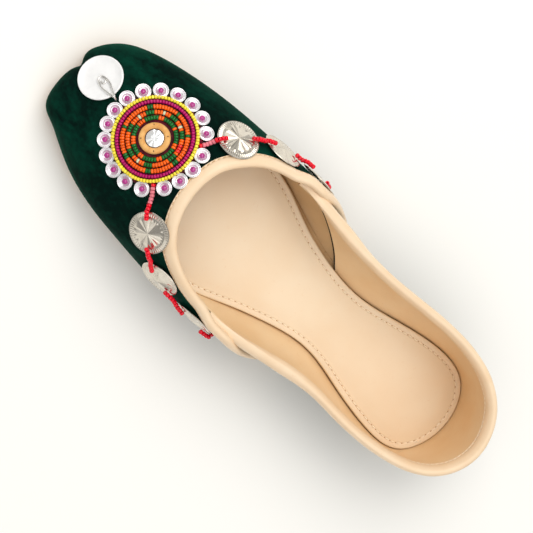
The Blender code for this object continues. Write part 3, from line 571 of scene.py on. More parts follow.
DISC_SILVER = finish("disc_silver", WEAR, (0.08, 0.00002), {"Metallic": 1.0},
                     Clean=(0.74, 0.69, 0.605), Dull=(0.60, 0.555, 0.475), Roughness=0.17)
COIN_SILVER = finish("coin_silver", WEAR, (0.05, 0.00002), {"Metallic": 0.1, "Coat Weight": 0.15},
                     Clean=(0.92, 0.92, 0.925), Dull=(0.85, 0.85, 0.86), Roughness=0.36)
BEZEL_SILVER = finish("bezel_silver", WEAR, (0.08, 0.00002), {"Metallic": 0.65, "Coat Weight": 0.2},
                      Clean=(0.96, 0.96, 0.98), Dull=(0.86, 0.86, 0.89), Roughness=0.2)
WIRE_SILVER = finish("wire_silver", WEAR, (0.05, 0.00002), {"Metallic": 1.0},
                     Clean=(0.90, 0.885, 0.86), Dull=(0.74, 0.72, 0.69), Roughness=0.16)
MIRROR_GLASS = finish("mirror_glass", WEAR, (0.02, 0.00002), {"Metallic": 0.55, "Coat Weight": 0.6},
                      Clean=(0.95, 0.97, 0.98), Dull=(0.88, 0.91, 0.93), Roughness=0.06)
SEED_BEADS = glass_finish("seed_beads", 0.16, 0.25)
PINK_BEADS = glass_finish("pink_beads", 0.08, 1.0)


def wall(name, node_name, point, bounds, depths, columns, rows, material, slot):
    """A layer of a wall as a closed shell between two depths of its surface function."""
    u, share = np.meshgrid(np.linspace(*bounds, columns), np.linspace(0.0, 1.0, rows))
    inner, outer = (point(u, share, np.full_like(u, depth)) for depth in depths)
    piece(name, "shoe", *shell(outer, inner), material, slot, [node_name])


LINING_SHARE = 0.42          # how much of the wall's thickness is lining
LAYER_GAP = 0.02
INSIDE = (0.0, LINING_SHARE)
OUTSIDE = (LINING_SHARE + LAYER_GAP, 1.0)
WALLS = [
    # name, node, surface, its bounds, depths, columns, rows, material, slot
    ("vamp_velvet", "vamp", vamp_point, VAMP_RANGE, OUTSIDE, 330, 84, VELVET, "velvet"),
    ("vamp_lining", "vamp", vamp_point, VAMP_RANGE, INSIDE, 280, 64, SHADED_VAMP_LINING, "lining_leather"),
    ("quarter_velvet", "quarter", quarter_point, QUARTER_RANGE, OUTSIDE, 300, 60, VELVET,
     "velvet_quarter"),
    ("quarter_lining", "quarter", quarter_point, QUARTER_RANGE, INSIDE, 300, 60, LINING,
     "lining_leather"),
]
for row in WALLS:
    wall(*row)


# Sections of the rolled bands as (up from the wall's edge, out from the wall's middle): a roll
# over the edge, and on one face a strip turned down flat, with a groove for its stitches
THROAT_SECTION = [(-1.85, 0.90), (-1.95, 1.12), (-1.8, 1.40), (-1.5, 1.52), (-1.2, 1.32), (-0.92, 1.54),
                  (-0.6, 1.76), (-0.1, 1.92), (0.8, 2.02), (1.9, 2.0), (2.9, 1.76), (3.7, 1.25),
                  (4.18, 0.62), (4.3, 0.0), (4.18, -0.66), (3.7, -1.35), (2.9, -1.92), (1.9, -2.2),
                  (0.8, -2.2), (-0.1, -1.95), (-0.72, -1.5), (-0.9, -1.1), (-0.3, -0.3), (-0.8, 0.4),
                  (-1.4, 0.7)]
TOPLINE_SECTION = [(-2.95, -0.90), (-3.1, -1.5), (-2.95, -2.15), (-2.55, -2.42), (-2.0, -2.44),
                   (-1.62, -2.18), (-1.2, -2.42), (-0.5, -2.62), (0.6, -2.66), (1.9, -2.42), (2.9, -1.92),
                   (3.7, -1.3), (4.18, -0.62), (4.3, 0.0), (4.18, 0.62), (3.7, 1.25), (2.9, 1.8),
                   (1.9, 2.12), (0.6, 2.2), (-0.6, 2.0), (-1.2, 1.6), (-1.35, 1.1), (-0.5, 0.3),
                   (-0.8, -0.4), (-2.1, -0.7)]
THROAT_STITCH = (-1.2, 1.42)        # the stitch line on the strip: up and out
TOPLINE_STITCH = (-1.62, -2.26)
STITCH_PITCH = 2.4
STITCH_LENGTH = 1.6
STITCH_THICK = 0.26


def band(point, u, knots, rising, inner, outer):
    """Rolled binding: a closed spline through its section carried along the wall's edge, and
    the lines that its stitches need. Rising scales its height over the edge, inner its inner
    half and outer its outer half. Soft waves of leather swell it by a hundredth or two."""
    middle, up, out, along = edge_frame(point, u)
    knots = np.array(knots)
    section = closed_spline(knots, np.linspace(0.0, len(knots), 3 * len(knots), endpoint=False))
    run = distances(middle)
    swell = 1.0 + 0.014 * np.sin(run / 7.1) + 0.010 * np.sin(run / 2.9)
    level, width = section[None, :, 0], section[None, :, 1] * swell[:, None]
    rise = level * np.where(level > 0.0, rising[:, None], np.where(width < 0.0, inner[:, None], 1.0))
    side = width * np.where(width < 0.0, inner[:, None], outer[:, None])
    points = middle[:, None, :] + up[:, None, :] * rise[..., None] + out[:, None, :] * side[..., None]
    return points, (middle, up, out, along, run, inner)


def closed_tube(points):
    """Points and quads of a tube of rings, each end drawn in to a point at its middle."""
    ends = [np.repeat(points[k].mean(axis=0)[None], points.shape[1], axis=0) for k in (0, -1)]
    rings = np.concatenate([ends[0][None], points, ends[1][None]])
    return rings.reshape(-1, 3), grid_quads(*rings.shape[:2], loop_columns=True)


def round_path(path, side, other, radius, sides):
    """Rings of points round a path: at each of its points a circle in the plane of two axes."""
    turn = np.linspace(0.0, TAU, sides, endpoint=False)[None, :, None]
    return path[:, None] + radius * (np.cos(turn) * side[:, None] + np.sin(turn) * other[:, None])


def capsule(length, thick, rows=5, sides=6):
    """A thread dash along its first axis: radius thick times the fourth root of 1 - x^4."""
    x = np.linspace(-1.0, 1.0, rows + 2)
    radius = thick * (1.0 - x**4)**0.25
    turn = np.linspace(0.0, TAU, sides, endpoint=False)
    points = np.stack([np.repeat(x[:, None] * length / 2, sides, axis=1),
                       radius[:, None] * np.cos(turn), radius[:, None] * np.sin(turn)], axis=-1)
    return points.reshape(-1, 3), grid_quads(rows + 2, sides, loop_columns=True)


def sampled(values, run, at):
    """Rows of values read at the distances at along the run."""
    return np.stack([np.interp(at, run, values[:, k]) for k in range(values.shape[1])], axis=-1)


def band_stitches(frames, place):
    """Dashes a step of the run apart on a band's strip, each slanted a little."""
    middle, up, out, along, run, inner = frames
    at = np.arange(STITCH_PITCH, run[-1] - STITCH_PITCH, STITCH_PITCH)
    centre, rise, face, way = (sampled(v, run, at) for v in (middle, up, out, along))
    spots = centre + (rise * place[0] + face * place[1]) * np.interp(at, run, inner)[:, None]
    slant = unit(way + rise * 0.10)
    bases = np.stack([slant, face, np.cross(slant, face)], axis=1)
    return many(*capsule(STITCH_LENGTH, STITCH_THICK), spots, bases)


def make_band(node_name, name, point, u, knots, growth, stitch, thread):
    """A binding and the line of stitches that holds its strip."""
    points, frames = band(point, u, knots, *growth)
    piece(name, "shoe", *closed_tube(points), BINDING, "binding_leather", [node_name])
    piece(f"{name}_stitches", "shoe", *band_stitches(frames, stitch), thread, "binding_leather")


u = np.linspace(*VAMP_RANGE, 900)
even = np.ones_like(u)
# the throat band's stitches are coloured with painted shade of their groove
make_band("throat_binding", "throat_band", vamp_point, u, THROAT_SECTION, [even] * 3, THROAT_STITCH, SHADED_THREAD)
TOPLINE_LEAD = 0.3           # how far ahead of its start the binding is carried in under the wing
start, end = TOPLINE_START["medial"] - TOPLINE_LEAD, TURN - TOPLINE_START["lateral"] + TOPLINE_LEAD
u = np.linspace(start, end, 900)
from_end = np.minimum(u - start, end - u)
rising = 0.12 + 0.88 * smooth(from_end / 1.0)
inner = 0.12 + 0.88 * smooth((from_end - 0.2) / 1.7)
outer = 1.0 + 0.6 * smooth(from_end / 0.4) * (1.0 - smooth((from_end - 1.6) / 0.8))
make_band("topline_binding", "topline_band", quarter_point, u, TOPLINE_SECTION, [rising, inner, outer],
          TOPLINE_STITCH, THREAD)


SHADE_TUBE_RADIUS = 0.52              # radius of the dark tube painted as the shade in the gap at the quarter's front edge
SHADE_TUBE_DEPTH = 0.16             # how deep in the wall its middle runs: 0 is the lining's face


def front_edge_shade_tubes():
    """Dark tubes along the quarter's front edges: painted shade of the gap between the quarter and the
    vamp's lining.
    """
    points, quads = [], []
    for side, sign in (("medial", 1.0), ("lateral", -1.0)):
        u = sign * np.linspace(QUARTER_FRONT[side][0] + 0.02, QUARTER_FRONT[side][1] - 0.02, 240)
        middle = quarter_point(u, np.zeros_like(u), SHADE_TUBE_DEPTH)
        inward = unit(quarter_point(u, np.zeros_like(u), 0.0) - quarter_point(u, np.zeros_like(u), 1.0))
        way = unit(np.gradient(middle, axis=0))
        tube, faces = closed_tube(round_path(middle, inward, np.cross(way, inward), SHADE_TUBE_RADIUS, 8))
        quads.append(faces + sum(len(part) for part in points))
        points.append(tube)
    return np.concatenate(points), np.concatenate(quads)


piece("quarter_front_edge_shade", "shoe", *front_edge_shade_tubes(), FRONT_EDGE_SHADE, "velvet_quarter")


def foot_ring(margin, count):
    """The foot ring in plan, its outward normals, and those times the margin at each place."""
    u = np.linspace(0.0, TURN, count, endpoint=False)
    out = plan_normal(ROWS[:, 0:2], u)
    return closed_spline(ROWS[:, 0:2], u), out, out * margin(u)[:, None]


def spine(ring, toe_in, heel_in):
    """Line down the middle that a filled outline closes on: the mean of the two sides, held
    short of the toe and the heel."""
    mirror = np.roll(ring[::-1], 1, axis=0)
    middle = (ring + mirror) / 2
    half = middle[:len(ring) // 2 + 1]
    low, high = half[:, 1].min() + toe_in, half[:, 1].max() - heel_in
    d = np.clip(middle[:, 1], low, high)
    return np.stack([np.interp(d, half[:, 1], half[:, 0]), d], axis=-1)


def pad(margin, columns, profile):
    """Filled body of a sole. profile rows are (inset from its edge, height), from the flat of
    its bottom out round the edge to the flat of its top; both flats draw in to the spine."""
    ring, out, moved = foot_ring(margin, columns)
    edge = ring + moved
    middle = spine(edge, 16.0, 20.0)
    rows = [(edge - out * inset, height) for inset, height in profile]
    (low, low_z), (high, high_z) = rows[0], rows[-1]
    inward = np.linspace(0.0, 1.0, 12)[1:]
    rows = ([(low + (middle - low) * share, low_z) for share in inward[::-1]] + rows
            + [(high + (middle - high) * share, high_z) for share in inward])
    stack = np.stack([np.column_stack([plan, np.full(columns, z)]) for plan, z in rows])
    return stand(stack).reshape(-1, 3), grid_quads(len(rows), columns, loop_columns=True)


FRONT_INSET = 0.6            # how far the insole's edge lies in from the foot ring under the vamp
INSOLE_STITCH = 2.9          # distance of the insole's stitch line from its edge
HOLE_PITCH = 3.1             # from one needle hole to the next
CHANNEL = 5.0                # distance of the outsole's sewn channel from its edge
CHANNEL_PITCH = 4.2          # from one stitch of the channel to the next


def outsole_margin(u):
    """Outsole edge out from the foot ring: a little under the velvet's overhang all round."""
    behind = smooth((np.abs(wrap(u)) - 6.9) / 1.1)
    return 1.1 - 1.3 * behind


def insole_margin(u):
    """Insole edge in from the foot ring: close to the quarter behind, and to the vamp in front."""
    behind = smooth((np.abs(wrap(u)) - 6.0) / 1.0)
    return -FRONT_INSET - (WALL + 0.10 - FRONT_INSET) * behind


def insole_height(inset):
    """Top of the insole over a distance in from its edge: a rounded edge, a furrow along the
    stitches, and a crown that rises slowly to the middle."""
    low, high = SOLE + GAP, SOLE + GAP + INSOLE
    edge = np.sqrt(np.clip(1.0 - (1.0 - np.clip(inset / 0.8, 0.0, 1.0))**2, 0.0, 1.0))
    furrow = 0.26 * np.exp(-((inset - INSOLE_STITCH) / 0.5)**2)
    crown = 0.45 * smooth((inset - INSOLE_STITCH) / 7.0)
    return low + 2.3 + (high - low - 2.6) * edge - furrow + crown


def stitch_line(margin, inset, height, pitch):
    """Evenly spaced places along an outline of the sole: spots, bases that run along it and a
    pitch that divides it evenly."""
    ring, out, moved = foot_ring(margin, 2400)
    line = ring + moved - out * inset
    path = stand(np.column_stack([line, np.full(len(line), height)]))
    run = distances(path)
    count = int(run[-1] // pitch)
    pitch = run[-1] / count
    way = unit(np.gradient(path, axis=0))
    up = np.tile((0.0, 0.0, 1.0), (count, 1))

    def places(shift, lift):
        at = (np.arange(count) + shift) * pitch
        along = sampled(way, run, at)
        return sampled(path, run, at) + up * lift, np.stack([along, np.cross(up, along), up], axis=1)

    return places, pitch


def make_insole():
    """Padded insole with a stitched border: the pad, dark dots of painted shade where its needle holes are,
    and its thread.
    """
    low = SOLE + GAP
    insets = np.concatenate([np.linspace(0.0, 0.8, 8), np.linspace(1.2, 5.0, 20),
                             np.linspace(5.6, 10.0, 7)])
    profile = [(8.0, low), (0.8, low), (0.25, low + 0.3), (0.0, low + 0.9)]
    profile += [(inset, float(insole_height(inset))) for inset in insets]
    made = piece("insole_pad", "shoe", *pad(insole_margin, 720, profile), INSOLE_LEATHER,
                 "lining_leather", ["insole"])
    furrow = float(insole_height(np.array(INSOLE_STITCH)))
    places, pitch = stitch_line(insole_margin, INSOLE_STITCH, furrow, HOLE_PITCH)
    # dark dots on the surface as painted shade of the needle holes
    piece("insole_holes", "shoe", *many(*capsule(0.55, 0.22), *places(0.0, 0.03)), HOLE, "lining_leather")
    piece("insole_stitches", "shoe", *many(*capsule(pitch - 0.75, 0.34), *places(0.5, 0.20)), THREAD,
          "lining_leather")


def make_outsole():
    """Leather outsole: rounded lower edge, side with a shallow groove, and a sewn channel round
    the underside. Its leather is darkened as painted shade, so that its edge reads as a shadow line."""
    profile = [(9.0, 0.0)]
    profile += [(k, 0.55 * math.exp(-((k - CHANNEL) / 0.7)**2)) for k in np.linspace(8.0, 1.0, 15)]
    profile += [(0.62, 0.1), (0.28, 0.34), (0.06, 0.75), (0.0, 1.3), (0.0, 2.2), (0.16, 2.6), (0.0, 3.0),
                (0.0, SOLE - 0.5), (0.12, SOLE - 0.16), (0.5, SOLE), (4.0, SOLE), (9.0, SOLE)]
    piece("outsole_leather", "shoe", *pad(outsole_margin, 480, profile), SHADED_SOLE_LEATHER, "sole_leather",
          ["outsole"])
    places, pitch = stitch_line(outsole_margin, CHANNEL, 0.30, CHANNEL_PITCH)
    piece("outsole_stitches", "shoe", *many(*capsule(pitch - 0.8, 0.3), *places(0.5, 0.0)), THREAD,
          "sole_leather")


make_insole()
make_outsole()


def cross_axes(normal):
    """Two unit axes square to a normal; the first runs across the shoe."""
    side = unit(np.cross((0.0, 1.0, 0.0), normal))
    return side, np.cross(normal, side)


class Patch:
    """The velvet round the medallion as heights over the plane through its centre: a
    polynomial of the eighth degree in the two distances, fitted to the vamp's surface."""

    REACH = 31.0
    DEGREE = 8

    def __init__(self):
        u, share = np.meshgrid(np.linspace(-4.6, 4.6, 420), np.linspace(0.0, 1.0, 160))
        points = vamp_point(u, share, 1.0).reshape(-1, 3)
        away = points[:, 0:2] - MEDALLION
        near = points[np.hypot(*away.T) < 12.0]
        tilt = np.column_stack([near[:, 0:2] - MEDALLION, np.ones(len(near))])
        slope = np.linalg.lstsq(tilt, near[:, 2], rcond=None)[0]
        self.normal = unit(np.array([-slope[0], -slope[1], 1.0]))
        self.side, self.other = cross_axes(self.normal)
        close = near[np.hypot(*(near[:, 0:2] - MEDALLION).T) < 1.5]
        self.centre = np.array((*MEDALLION, close[:, 2].mean()))
        local = (points - self.centre) @ np.stack([self.side, self.other, self.normal]).T
        kept = local[(np.hypot(local[:, 0], local[:, 1]) < self.REACH) & (local[:, 2] > -22.0)]
        self.weights = np.linalg.lstsq(self.terms(kept[:, 0], kept[:, 1]), kept[:, 2], rcond=None)[0]

    def terms(self, a, b):
        """Products of powers of the two distances, up to the degree, one column each."""
        a, b = np.asarray(a) / self.REACH, np.asarray(b) / self.REACH
        return np.stack([a**i * b**j for i in range(self.DEGREE + 1) for j in range(self.DEGREE + 1 - i)],
                        axis=-1)

    def height(self, a, b):
        """Height of the velvet over the plane."""
        return self.terms(a, b) @ self.weights

    def at(self, a, b, lift):
        """Points at a lift above the velvet at distances a and b."""
        h = self.height(a, b) + lift
        return (self.centre + np.asarray(a)[..., None] * self.side + np.asarray(b)[..., None] * self.other
                + h[..., None] * self.normal)

    def round(self, radius, angle, lift):
        """Points at a polar place and lift."""
        radius, angle, lift = np.broadcast_arrays(radius, angle, lift)
        return self.at(radius * np.cos(angle), radius * np.sin(angle), lift)

    def frames(self, radius, angle):
        """Spot, run round the ring, way out and local normal at polar places."""
        step = 0.02
        spot = self.round(radius, angle, 0.0)
        along = unit(self.round(radius, angle + step, 0.0) - self.round(radius, angle - step, 0.0))
        out = self.round(radius + 0.3, angle, 0.0) - self.round(radius - 0.3, angle, 0.0)
        normal = unit(np.cross(out, along))
        normal *= np.sign(normal @ self.normal)[:, None]
        return spot, along, np.cross(along, normal), normal


PATCH = Patch()
BEAD_LOW = GAP + FELT        # where the beads lie over the velvet


def seed(length, radius, sides=8):
    """A seed bead along its first axis: a rounded barrel with a hole, as a closed loop of
    rings from the hole out over the shoulders and back."""
    profile = np.array([(0.0, 0.30), (-0.46, 0.48), (-0.44, 0.80), (-0.22, 0.97), (0.22, 0.97),
                        (0.44, 0.80), (0.46, 0.48)])
    turn = np.linspace(0.0, TAU, sides, endpoint=False)
    x = np.repeat(profile[:, :1] * length, sides, axis=1)
    reach = profile[:, 1:] * radius
    points = np.stack([x, reach * np.cos(turn), reach * np.sin(turn)], axis=-1)
    return points.reshape(-1, 3), grid_quads(len(profile), sides, loop_rows=True, loop_columns=True)


def uneven(colours, jitter, spread, size):
    """Each bead's colour a little lighter or darker, once for each of its size points."""
    shade = np.clip(colours * jitter.normal(1.0, spread, (len(colours), 1)), 0, 1)
    return np.repeat(shade, size, axis=0)


def bead_ring(node_name, name, radius, count, width, height, colours, slot):
    """A round of seed beads threaded end to end on the felt; colours is one for each bead."""
    angle = np.arange(count) * TAU / count
    spot, along, out, normal = PATCH.frames(np.full(count, radius), angle)
    jitter = np.random.default_rng(int(radius * 10))
    lean = jitter.normal(0.0, 0.045, (count, 1))
    along = unit(along + out * lean)
    centre = spot + normal * (BEAD_LOW + GAP + height / 2 + jitter.normal(0.0, 0.03, (count, 1)))
    local, quads = seed(TAU * radius / count * 0.99, 1.0)
    local = local * (1.0, width / 2, height / 2)
    size = jitter.normal(1.0, 0.025, (count, 1, 1))
    bases = np.stack([along, np.cross(normal, along), normal], axis=1) * size
    points, faces = many(local, quads, centre, bases)
    shade = uneven(colours, jitter, 0.06, len(local))
    piece(name, "shoe", points, faces, SEED_BEADS, slot, [node_name], shade)


PHOTO_TURN = 133.9           # an angle seen in the picture plus this is one round the medallion


def marked(count, base, marks):
    """Colours of a round of beads: base, then (angle in degrees, half width, colour) marks."""
    colours = np.tile(np.array(base), (count, 1))
    angle = np.arange(count) * 360.0 / count
    for at, half, colour in marks:
        off = (angle - at - PHOTO_TURN + 180.0) % 360.0 - 180.0
        colours[np.abs(off) <= half] = colour
    return colours


PETALS = (99.0, 46.0, 2.0, -50.0, -102.0, -152.0, 156.0)    # the seven green points, as seen
RIM_RED = (0.9, 0.03, 0.02)
PALE_SPOTS = [(71.0, 3.0, PALE), (124.0, 3.0, PALE), (20.0, 3.0, PALE), (-127.0, 3.0, PALE)]
BEAD_RINGS = [
    # node, name, radius, count, width, height, colours, slot
    ("bead_ring_yellow", "yellow_beads", 18.1, 84, 1.75, 1.6, marked(84, YELLOW, []), "beads_yellow"),
    ("bead_ring_magenta", "magenta_beads", 16.25, 80, 1.75, 1.5, marked(80, MAGENTA, []), "beads_magenta"),
    ("bead_ring_outer", "outer_beads", 13.95, 72, 2.2, 1.5,
     marked(72, ORANGE, [(p, 4.0, GREEN) for p in PETALS]), "beads_orange"),
    ("bead_ring_middle", "middle_beads", 11.55, 60, 2.15, 1.45,
     marked(60, ORANGE, [(p, 9.0, GREEN) for p in PETALS] + PALE_SPOTS + [(-26.0, 9.0, RIM_RED)]),
     "beads_orange"),
    ("bead_ring_inner", "inner_beads", 9.15, 48, 2.15, 1.4,
     marked(48, ORANGE, [(p, 17.0, GREEN) for p in PETALS]), "beads_orange"),
]
for row in BEAD_RINGS:
    bead_ring(*row)


def draped_body(profile, sides, wave=None):
    """Body turned round the medallion's centre whose points keep their lift over the velvet.
    profile rows are (radius, lift); wave adds lift from (radius, angle)."""
    angle = np.linspace(0.0, TAU, sides, endpoint=False)
    radius, lift = (np.repeat(np.array(profile)[:, k:k + 1], sides, axis=1) for k in (0, 1))
    if wave is not None:
        lift = lift + wave(radius, angle[None, :])
    points = PATCH.round(radius, np.broadcast_to(angle, radius.shape), lift)
    return points.reshape(-1, 3), grid_quads(*radius.shape, loop_columns=True)


FELT_FRINGE = 20.4           # the felt's thin outer edge, which shows between the bezels
felt_top = [(r, GAP + FELT) for r in np.linspace(FELT_RADIUS - 0.3, 0.0, 14)]
felt_under = [(r, GAP) for r in np.linspace(0.0, FELT_FRINGE - 0.2, 10)]
felt_edge = [(FELT_FRINGE, GAP + 0.16), (FELT_FRINGE - 0.3, GAP + 0.34), (FELT_RADIUS + 0.1, GAP + 0.45)]
piece("felt_roundel", "shoe", *draped_body(felt_under + felt_edge + felt_top, 220), FELT_CLOTH, "felt",
      ["medallion_felt"])


WOUND_RADIUS = 5.6           # of the wound ring's middle
WOUND_HALF = (1.30, 1.05)    # half its width and half its height
WOUND_MIDDLE = BEAD_LOW + GAP + 0.95
WOUND_TURNS = 84


def wound_ring():
    """Ring wound with thread: a flattened ring section whose radius ripples at each turn."""
    samples = 7 * WOUND_TURNS
    angle = np.arange(samples) * TAU / samples
    turn = np.linspace(0.0, TAU, 18, endpoint=False)
    ripple = 1.0 + 0.075 * np.abs(np.cos(angle * WOUND_TURNS / 2))[:, None]
    radius = WOUND_RADIUS + WOUND_HALF[0] * np.cos(turn)[None, :] * ripple
    lift = WOUND_MIDDLE + WOUND_HALF[1] * np.sin(turn)[None, :] * ripple
    points = PATCH.round(radius, np.broadcast_to(angle[:, None], radius.shape), lift)
    return points.reshape(-1, 3), grid_quads(*radius.shape, loop_rows=True, loop_columns=True)


piece("wound_ring", "shoe", *wound_ring(), WOUND, "wound_thread", ["mirror_frame"])
knots = np.radians(np.array((92.0, 2.0, -92.0, 178.0)) + PHOTO_TURN)
knot_spot, knot_along, knot_out, knot_normal = PATCH.frames(np.full(4, WOUND_RADIUS + 0.15), knots)
knot_spot += knot_normal * (WOUND_MIDDLE + WOUND_HALF[1])
knot_bases = np.stack([knot_out, knot_normal, knot_along], axis=1)
piece("wound_ring_knots", "shoe", *many(*capsule(0.95, 0.2), knot_spot, knot_bases), KNOT, "wound_thread")


MIRROR_FACETS = 9
MIRROR_TABLE = 0.42          # share of the mirror's radius that is flat in its middle
MIRROR_FALL = 0.55
MIRROR_FOLD = 0.24
MIRROR_UNDER = 4             # how many rings of the profile are the lower face


def mirror_lift(radius, angle):
    """Hand-cut facets on the mirror's upper face alone: flat falls towards the rim, each a
    fold lower at its own middle."""
    upper = (np.arange(len(radius)) >= MIRROR_UNDER)[:, None]
    fold = np.abs((angle * MIRROR_FACETS / TAU) % 1.0 - 0.5)
    reach = radius / MIRROR_RADIUS
    fall = MIRROR_FALL * (1.0 - np.clip(reach, MIRROR_TABLE, 1.0))
    return upper * (fall + MIRROR_FOLD * fold * np.clip(reach, 0.0, 1.0))


mirror_low = BEAD_LOW + GAP
mirror_profile = ([(r, mirror_low) for r in np.linspace(0.0, MIRROR_RADIUS - 0.05, MIRROR_UNDER)]
                  + [(r, mirror_low + 0.7) for r in np.linspace(MIRROR_RADIUS - 0.05, 0.0, 15)])
piece("mirror_face", "shoe", *draped_body(mirror_profile, 108, mirror_lift), MIRROR_GLASS, "mirror_glass",
      ["mirror"], sharp=3.0)


def node_frame(name):
    """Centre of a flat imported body's lower face and its axes: the way in which its points
    spread least is its normal."""
    mesh = frame["nodes"][name].data
    flat = np.empty(len(mesh.vertices) * 3)
    mesh.vertices.foreach_get("co", flat)
    points = np.unique(from_world(flat.reshape(-1, 3)).round(4), axis=0)
    middle = points.mean(axis=0)
    normal = np.linalg.svd(points - middle, full_matrices=False)[2][2]
    outward = normal[2] if abs(normal[2]) > 0.05 else normal[0] * middle[0]
    normal = normal * np.sign(outward)
    rise = (points - middle) @ normal
    side, other = cross_axes(normal)
    spread = (points - middle) @ np.stack([side, other]).T
    shift = (spread.min(axis=0) + spread.max(axis=0)) / 2
    return middle + side * shift[0] + other * shift[1] + normal * rise.min(), side, other, normal


def turned(profile, sides, wave=None):
    """Local points of a body turned round its third axis; wave adds height from (radius, angle)."""
    angle = np.linspace(0.0, TAU, sides, endpoint=False)
    radius, height = (np.repeat(np.array(profile, float)[:, k:k + 1], sides, axis=1) for k in (0, 1))
    if wave is not None:
        height = height + wave(radius, np.broadcast_to(angle, radius.shape))
    points = np.stack([radius * np.cos(angle), radius * np.sin(angle), height], axis=-1)
    return points.reshape(-1, 3), grid_quads(*radius.shape, loop_columns=True)


def frames_of(names):
    """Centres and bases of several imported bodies."""
    found = [node_frame(name) for name in names]
    return (np.array([f[0] for f in found]), np.array([[f[1], f[2], f[3]] for f in found]))


BEZELS = [f"bezel_{k:02d}" for k in range(1, 19)]
BEZEL_TUCK = 0.95           # how far each cup is tucked in under the yellow beads
CUP = [(0.0, 0.05), (2.2, 0.05), (3.2, 0.14), (3.48, 0.5), (3.55, 1.0), (3.45, 1.26), (3.24, 1.34),
       (3.04, 1.18), (2.90, 0.86), (2.74, 0.74), (2.6, 0.92), (2.45, 1.0), (2.26, 0.86), (1.9, 0.56),
       (1.5, 0.42), (0.0, 0.38)]
BEAD_DOME = [(0.0, 0.40), (0.85, 0.42), (1.2, 0.62), (1.34, 1.0), (1.25, 1.4), (0.96, 1.75),
             (0.53, 1.98), (0.0, 2.06)]
PINK = (0.44, 0.022, 0.24)
bezel_centres, bezel_bases = frames_of(BEZELS)
inward = PATCH.centre - bezel_centres
inward = unit(inward - bezel_bases[:, 2] * np.sum(inward * bezel_bases[:, 2], axis=1, keepdims=True))
bezel_places = (bezel_centres + inward * BEZEL_TUCK, bezel_bases)
piece("bezel_cups", "shoe", *many(*turned(CUP, 32), *bezel_places), BEZEL_SILVER, "bezel_silver", BEZELS)
dome_points, dome_faces = many(*turned(BEAD_DOME, 20), *bezel_places)
piece("bezel_beads", "shoe", dome_points, dome_faces, PINK_BEADS, "bezel_silver",
      colours=np.tile(PINK, (len(dome_points), 1)))

FLUTES = 13
FLUTE_REACH = 0.62           # share of the disc's radius where its flutes are deepest
FLUTE_CREST = 0.62           # share of a flute's width where its crest is
NOTCHES = 52
DISC_SIDES = 8 * NOTCHES
DISC_FOOT = 0.15             # height of the sheet's lower face at the rim
DISC_SHEET = 0.4             # thickness of the pressed sheet in the looks
DISC_LIP = 0.12              # how far the lip stands out past the rim


def disc_wave(radius, angle):
    """Stamped relief: folded flutes that die out before the border, each crest leaning a little
    to one side, then a milled band of fine notches, and a plain lip."""
    reach = radius / DISC_RADIUS
    place = (angle * FLUTES / TAU + 0.24 * np.sin(angle * 3.0 + 1.0)) % 1.0
    fold = np.minimum(place / FLUTE_CREST, (1.0 - place) / (1.0 - FLUTE_CREST))
    deep = np.clip(reach / FLUTE_REACH, 0.0, 1.0) * (1.0 - smooth((reach - FLUTE_REACH) / 0.14))
    border = smooth((reach - 0.77) / 0.03) * (1.0 - smooth((reach - 0.945) / 0.02))
    return 0.50 * (fold - 0.5) * deep + 0.09 * np.cos(angle * NOTCHES) * border


def disc_profile():
    """A shallow cone of thin sheet: its top down to the lip, round it, and back underneath."""
    share = np.concatenate([np.linspace(0.0, 0.72, 19), np.linspace(0.74, 1.0, 15)])
    cone = 1.5 * (1.0 - share)**1.15 + 0.12 * smooth((share - 0.93) / 0.05)
    top = [(s * DISC_RADIUS, DISC_FOOT + DISC_SHEET + h) for s, h in zip(share, cone)]
    under = [(s * DISC_RADIUS, DISC_FOOT + h) for s, h in zip(share[::-1], cone[::-1])]
    return top + [(DISC_RADIUS + DISC_LIP, 0.42)] + under


DISCS = [f"disc_{side}_{k}" for side in ("medial", "lateral") for k in (1, 2, 3)]
for name in DISCS:
    stamped = many(*turned(disc_profile(), DISC_SIDES, disc_wave), *frames_of([name]))
    piece(f"stamped_{name}", "shoe", *stamped, DISC_SILVER, "disc_silver", [name], sharp=20.0)


def coin_profile():
    """Plain coin: thin raised border and a faint boss in the middle."""
    r, h = COIN_RADIUS, 0.8
    return [(0.0, 0.04), (r - 0.3, 0.0), (r, 0.12), (r + 0.05, h * 0.5), (r, h), (r - 0.25, h + 0.14),
            (r - 0.7, h + 0.12), (r - 0.95, h - 0.10), (r * 0.62, h - 0.12), (r * 0.40, h - 0.10),
            (r * 0.33, h + 0.02), (r * 0.14, h + 0.05), (0.0, h + 0.05)]


COIN_PLACE = frames_of(["coin"])
piece("coin_disc", "coin", *many(*turned(coin_profile(), 120), *COIN_PLACE), COIN_SILVER, "coin_silver",
      ["coin"])


def wire(path, radius, closed):
    """Round wire: a circle carried square to its path, about one fixed way up."""
    way = (np.roll(path, -1, axis=0) - np.roll(path, 1, axis=0)) if closed else np.gradient(path, axis=0)
    way = unit(way)
    flat = unit(np.cross(path[len(path) // 3] - path[0], path[2 * len(path) // 3] - path[0]))
    side = unit(np.cross(way, flat))
    rings = round_path(path, side, np.cross(side, way), radius, 10)
    if closed:
        return rings.reshape(-1, 3), grid_quads(*rings.shape[:2], loop_rows=True, loop_columns=True)
    return closed_tube(rings)


WIRE = 0.42                  # radius of the loop's wire
LOOP_HINGE_HALF = 0.85       # half width of the loop in the eye, and over the coin's middle
LOOP_COIN_HALF = 2.2


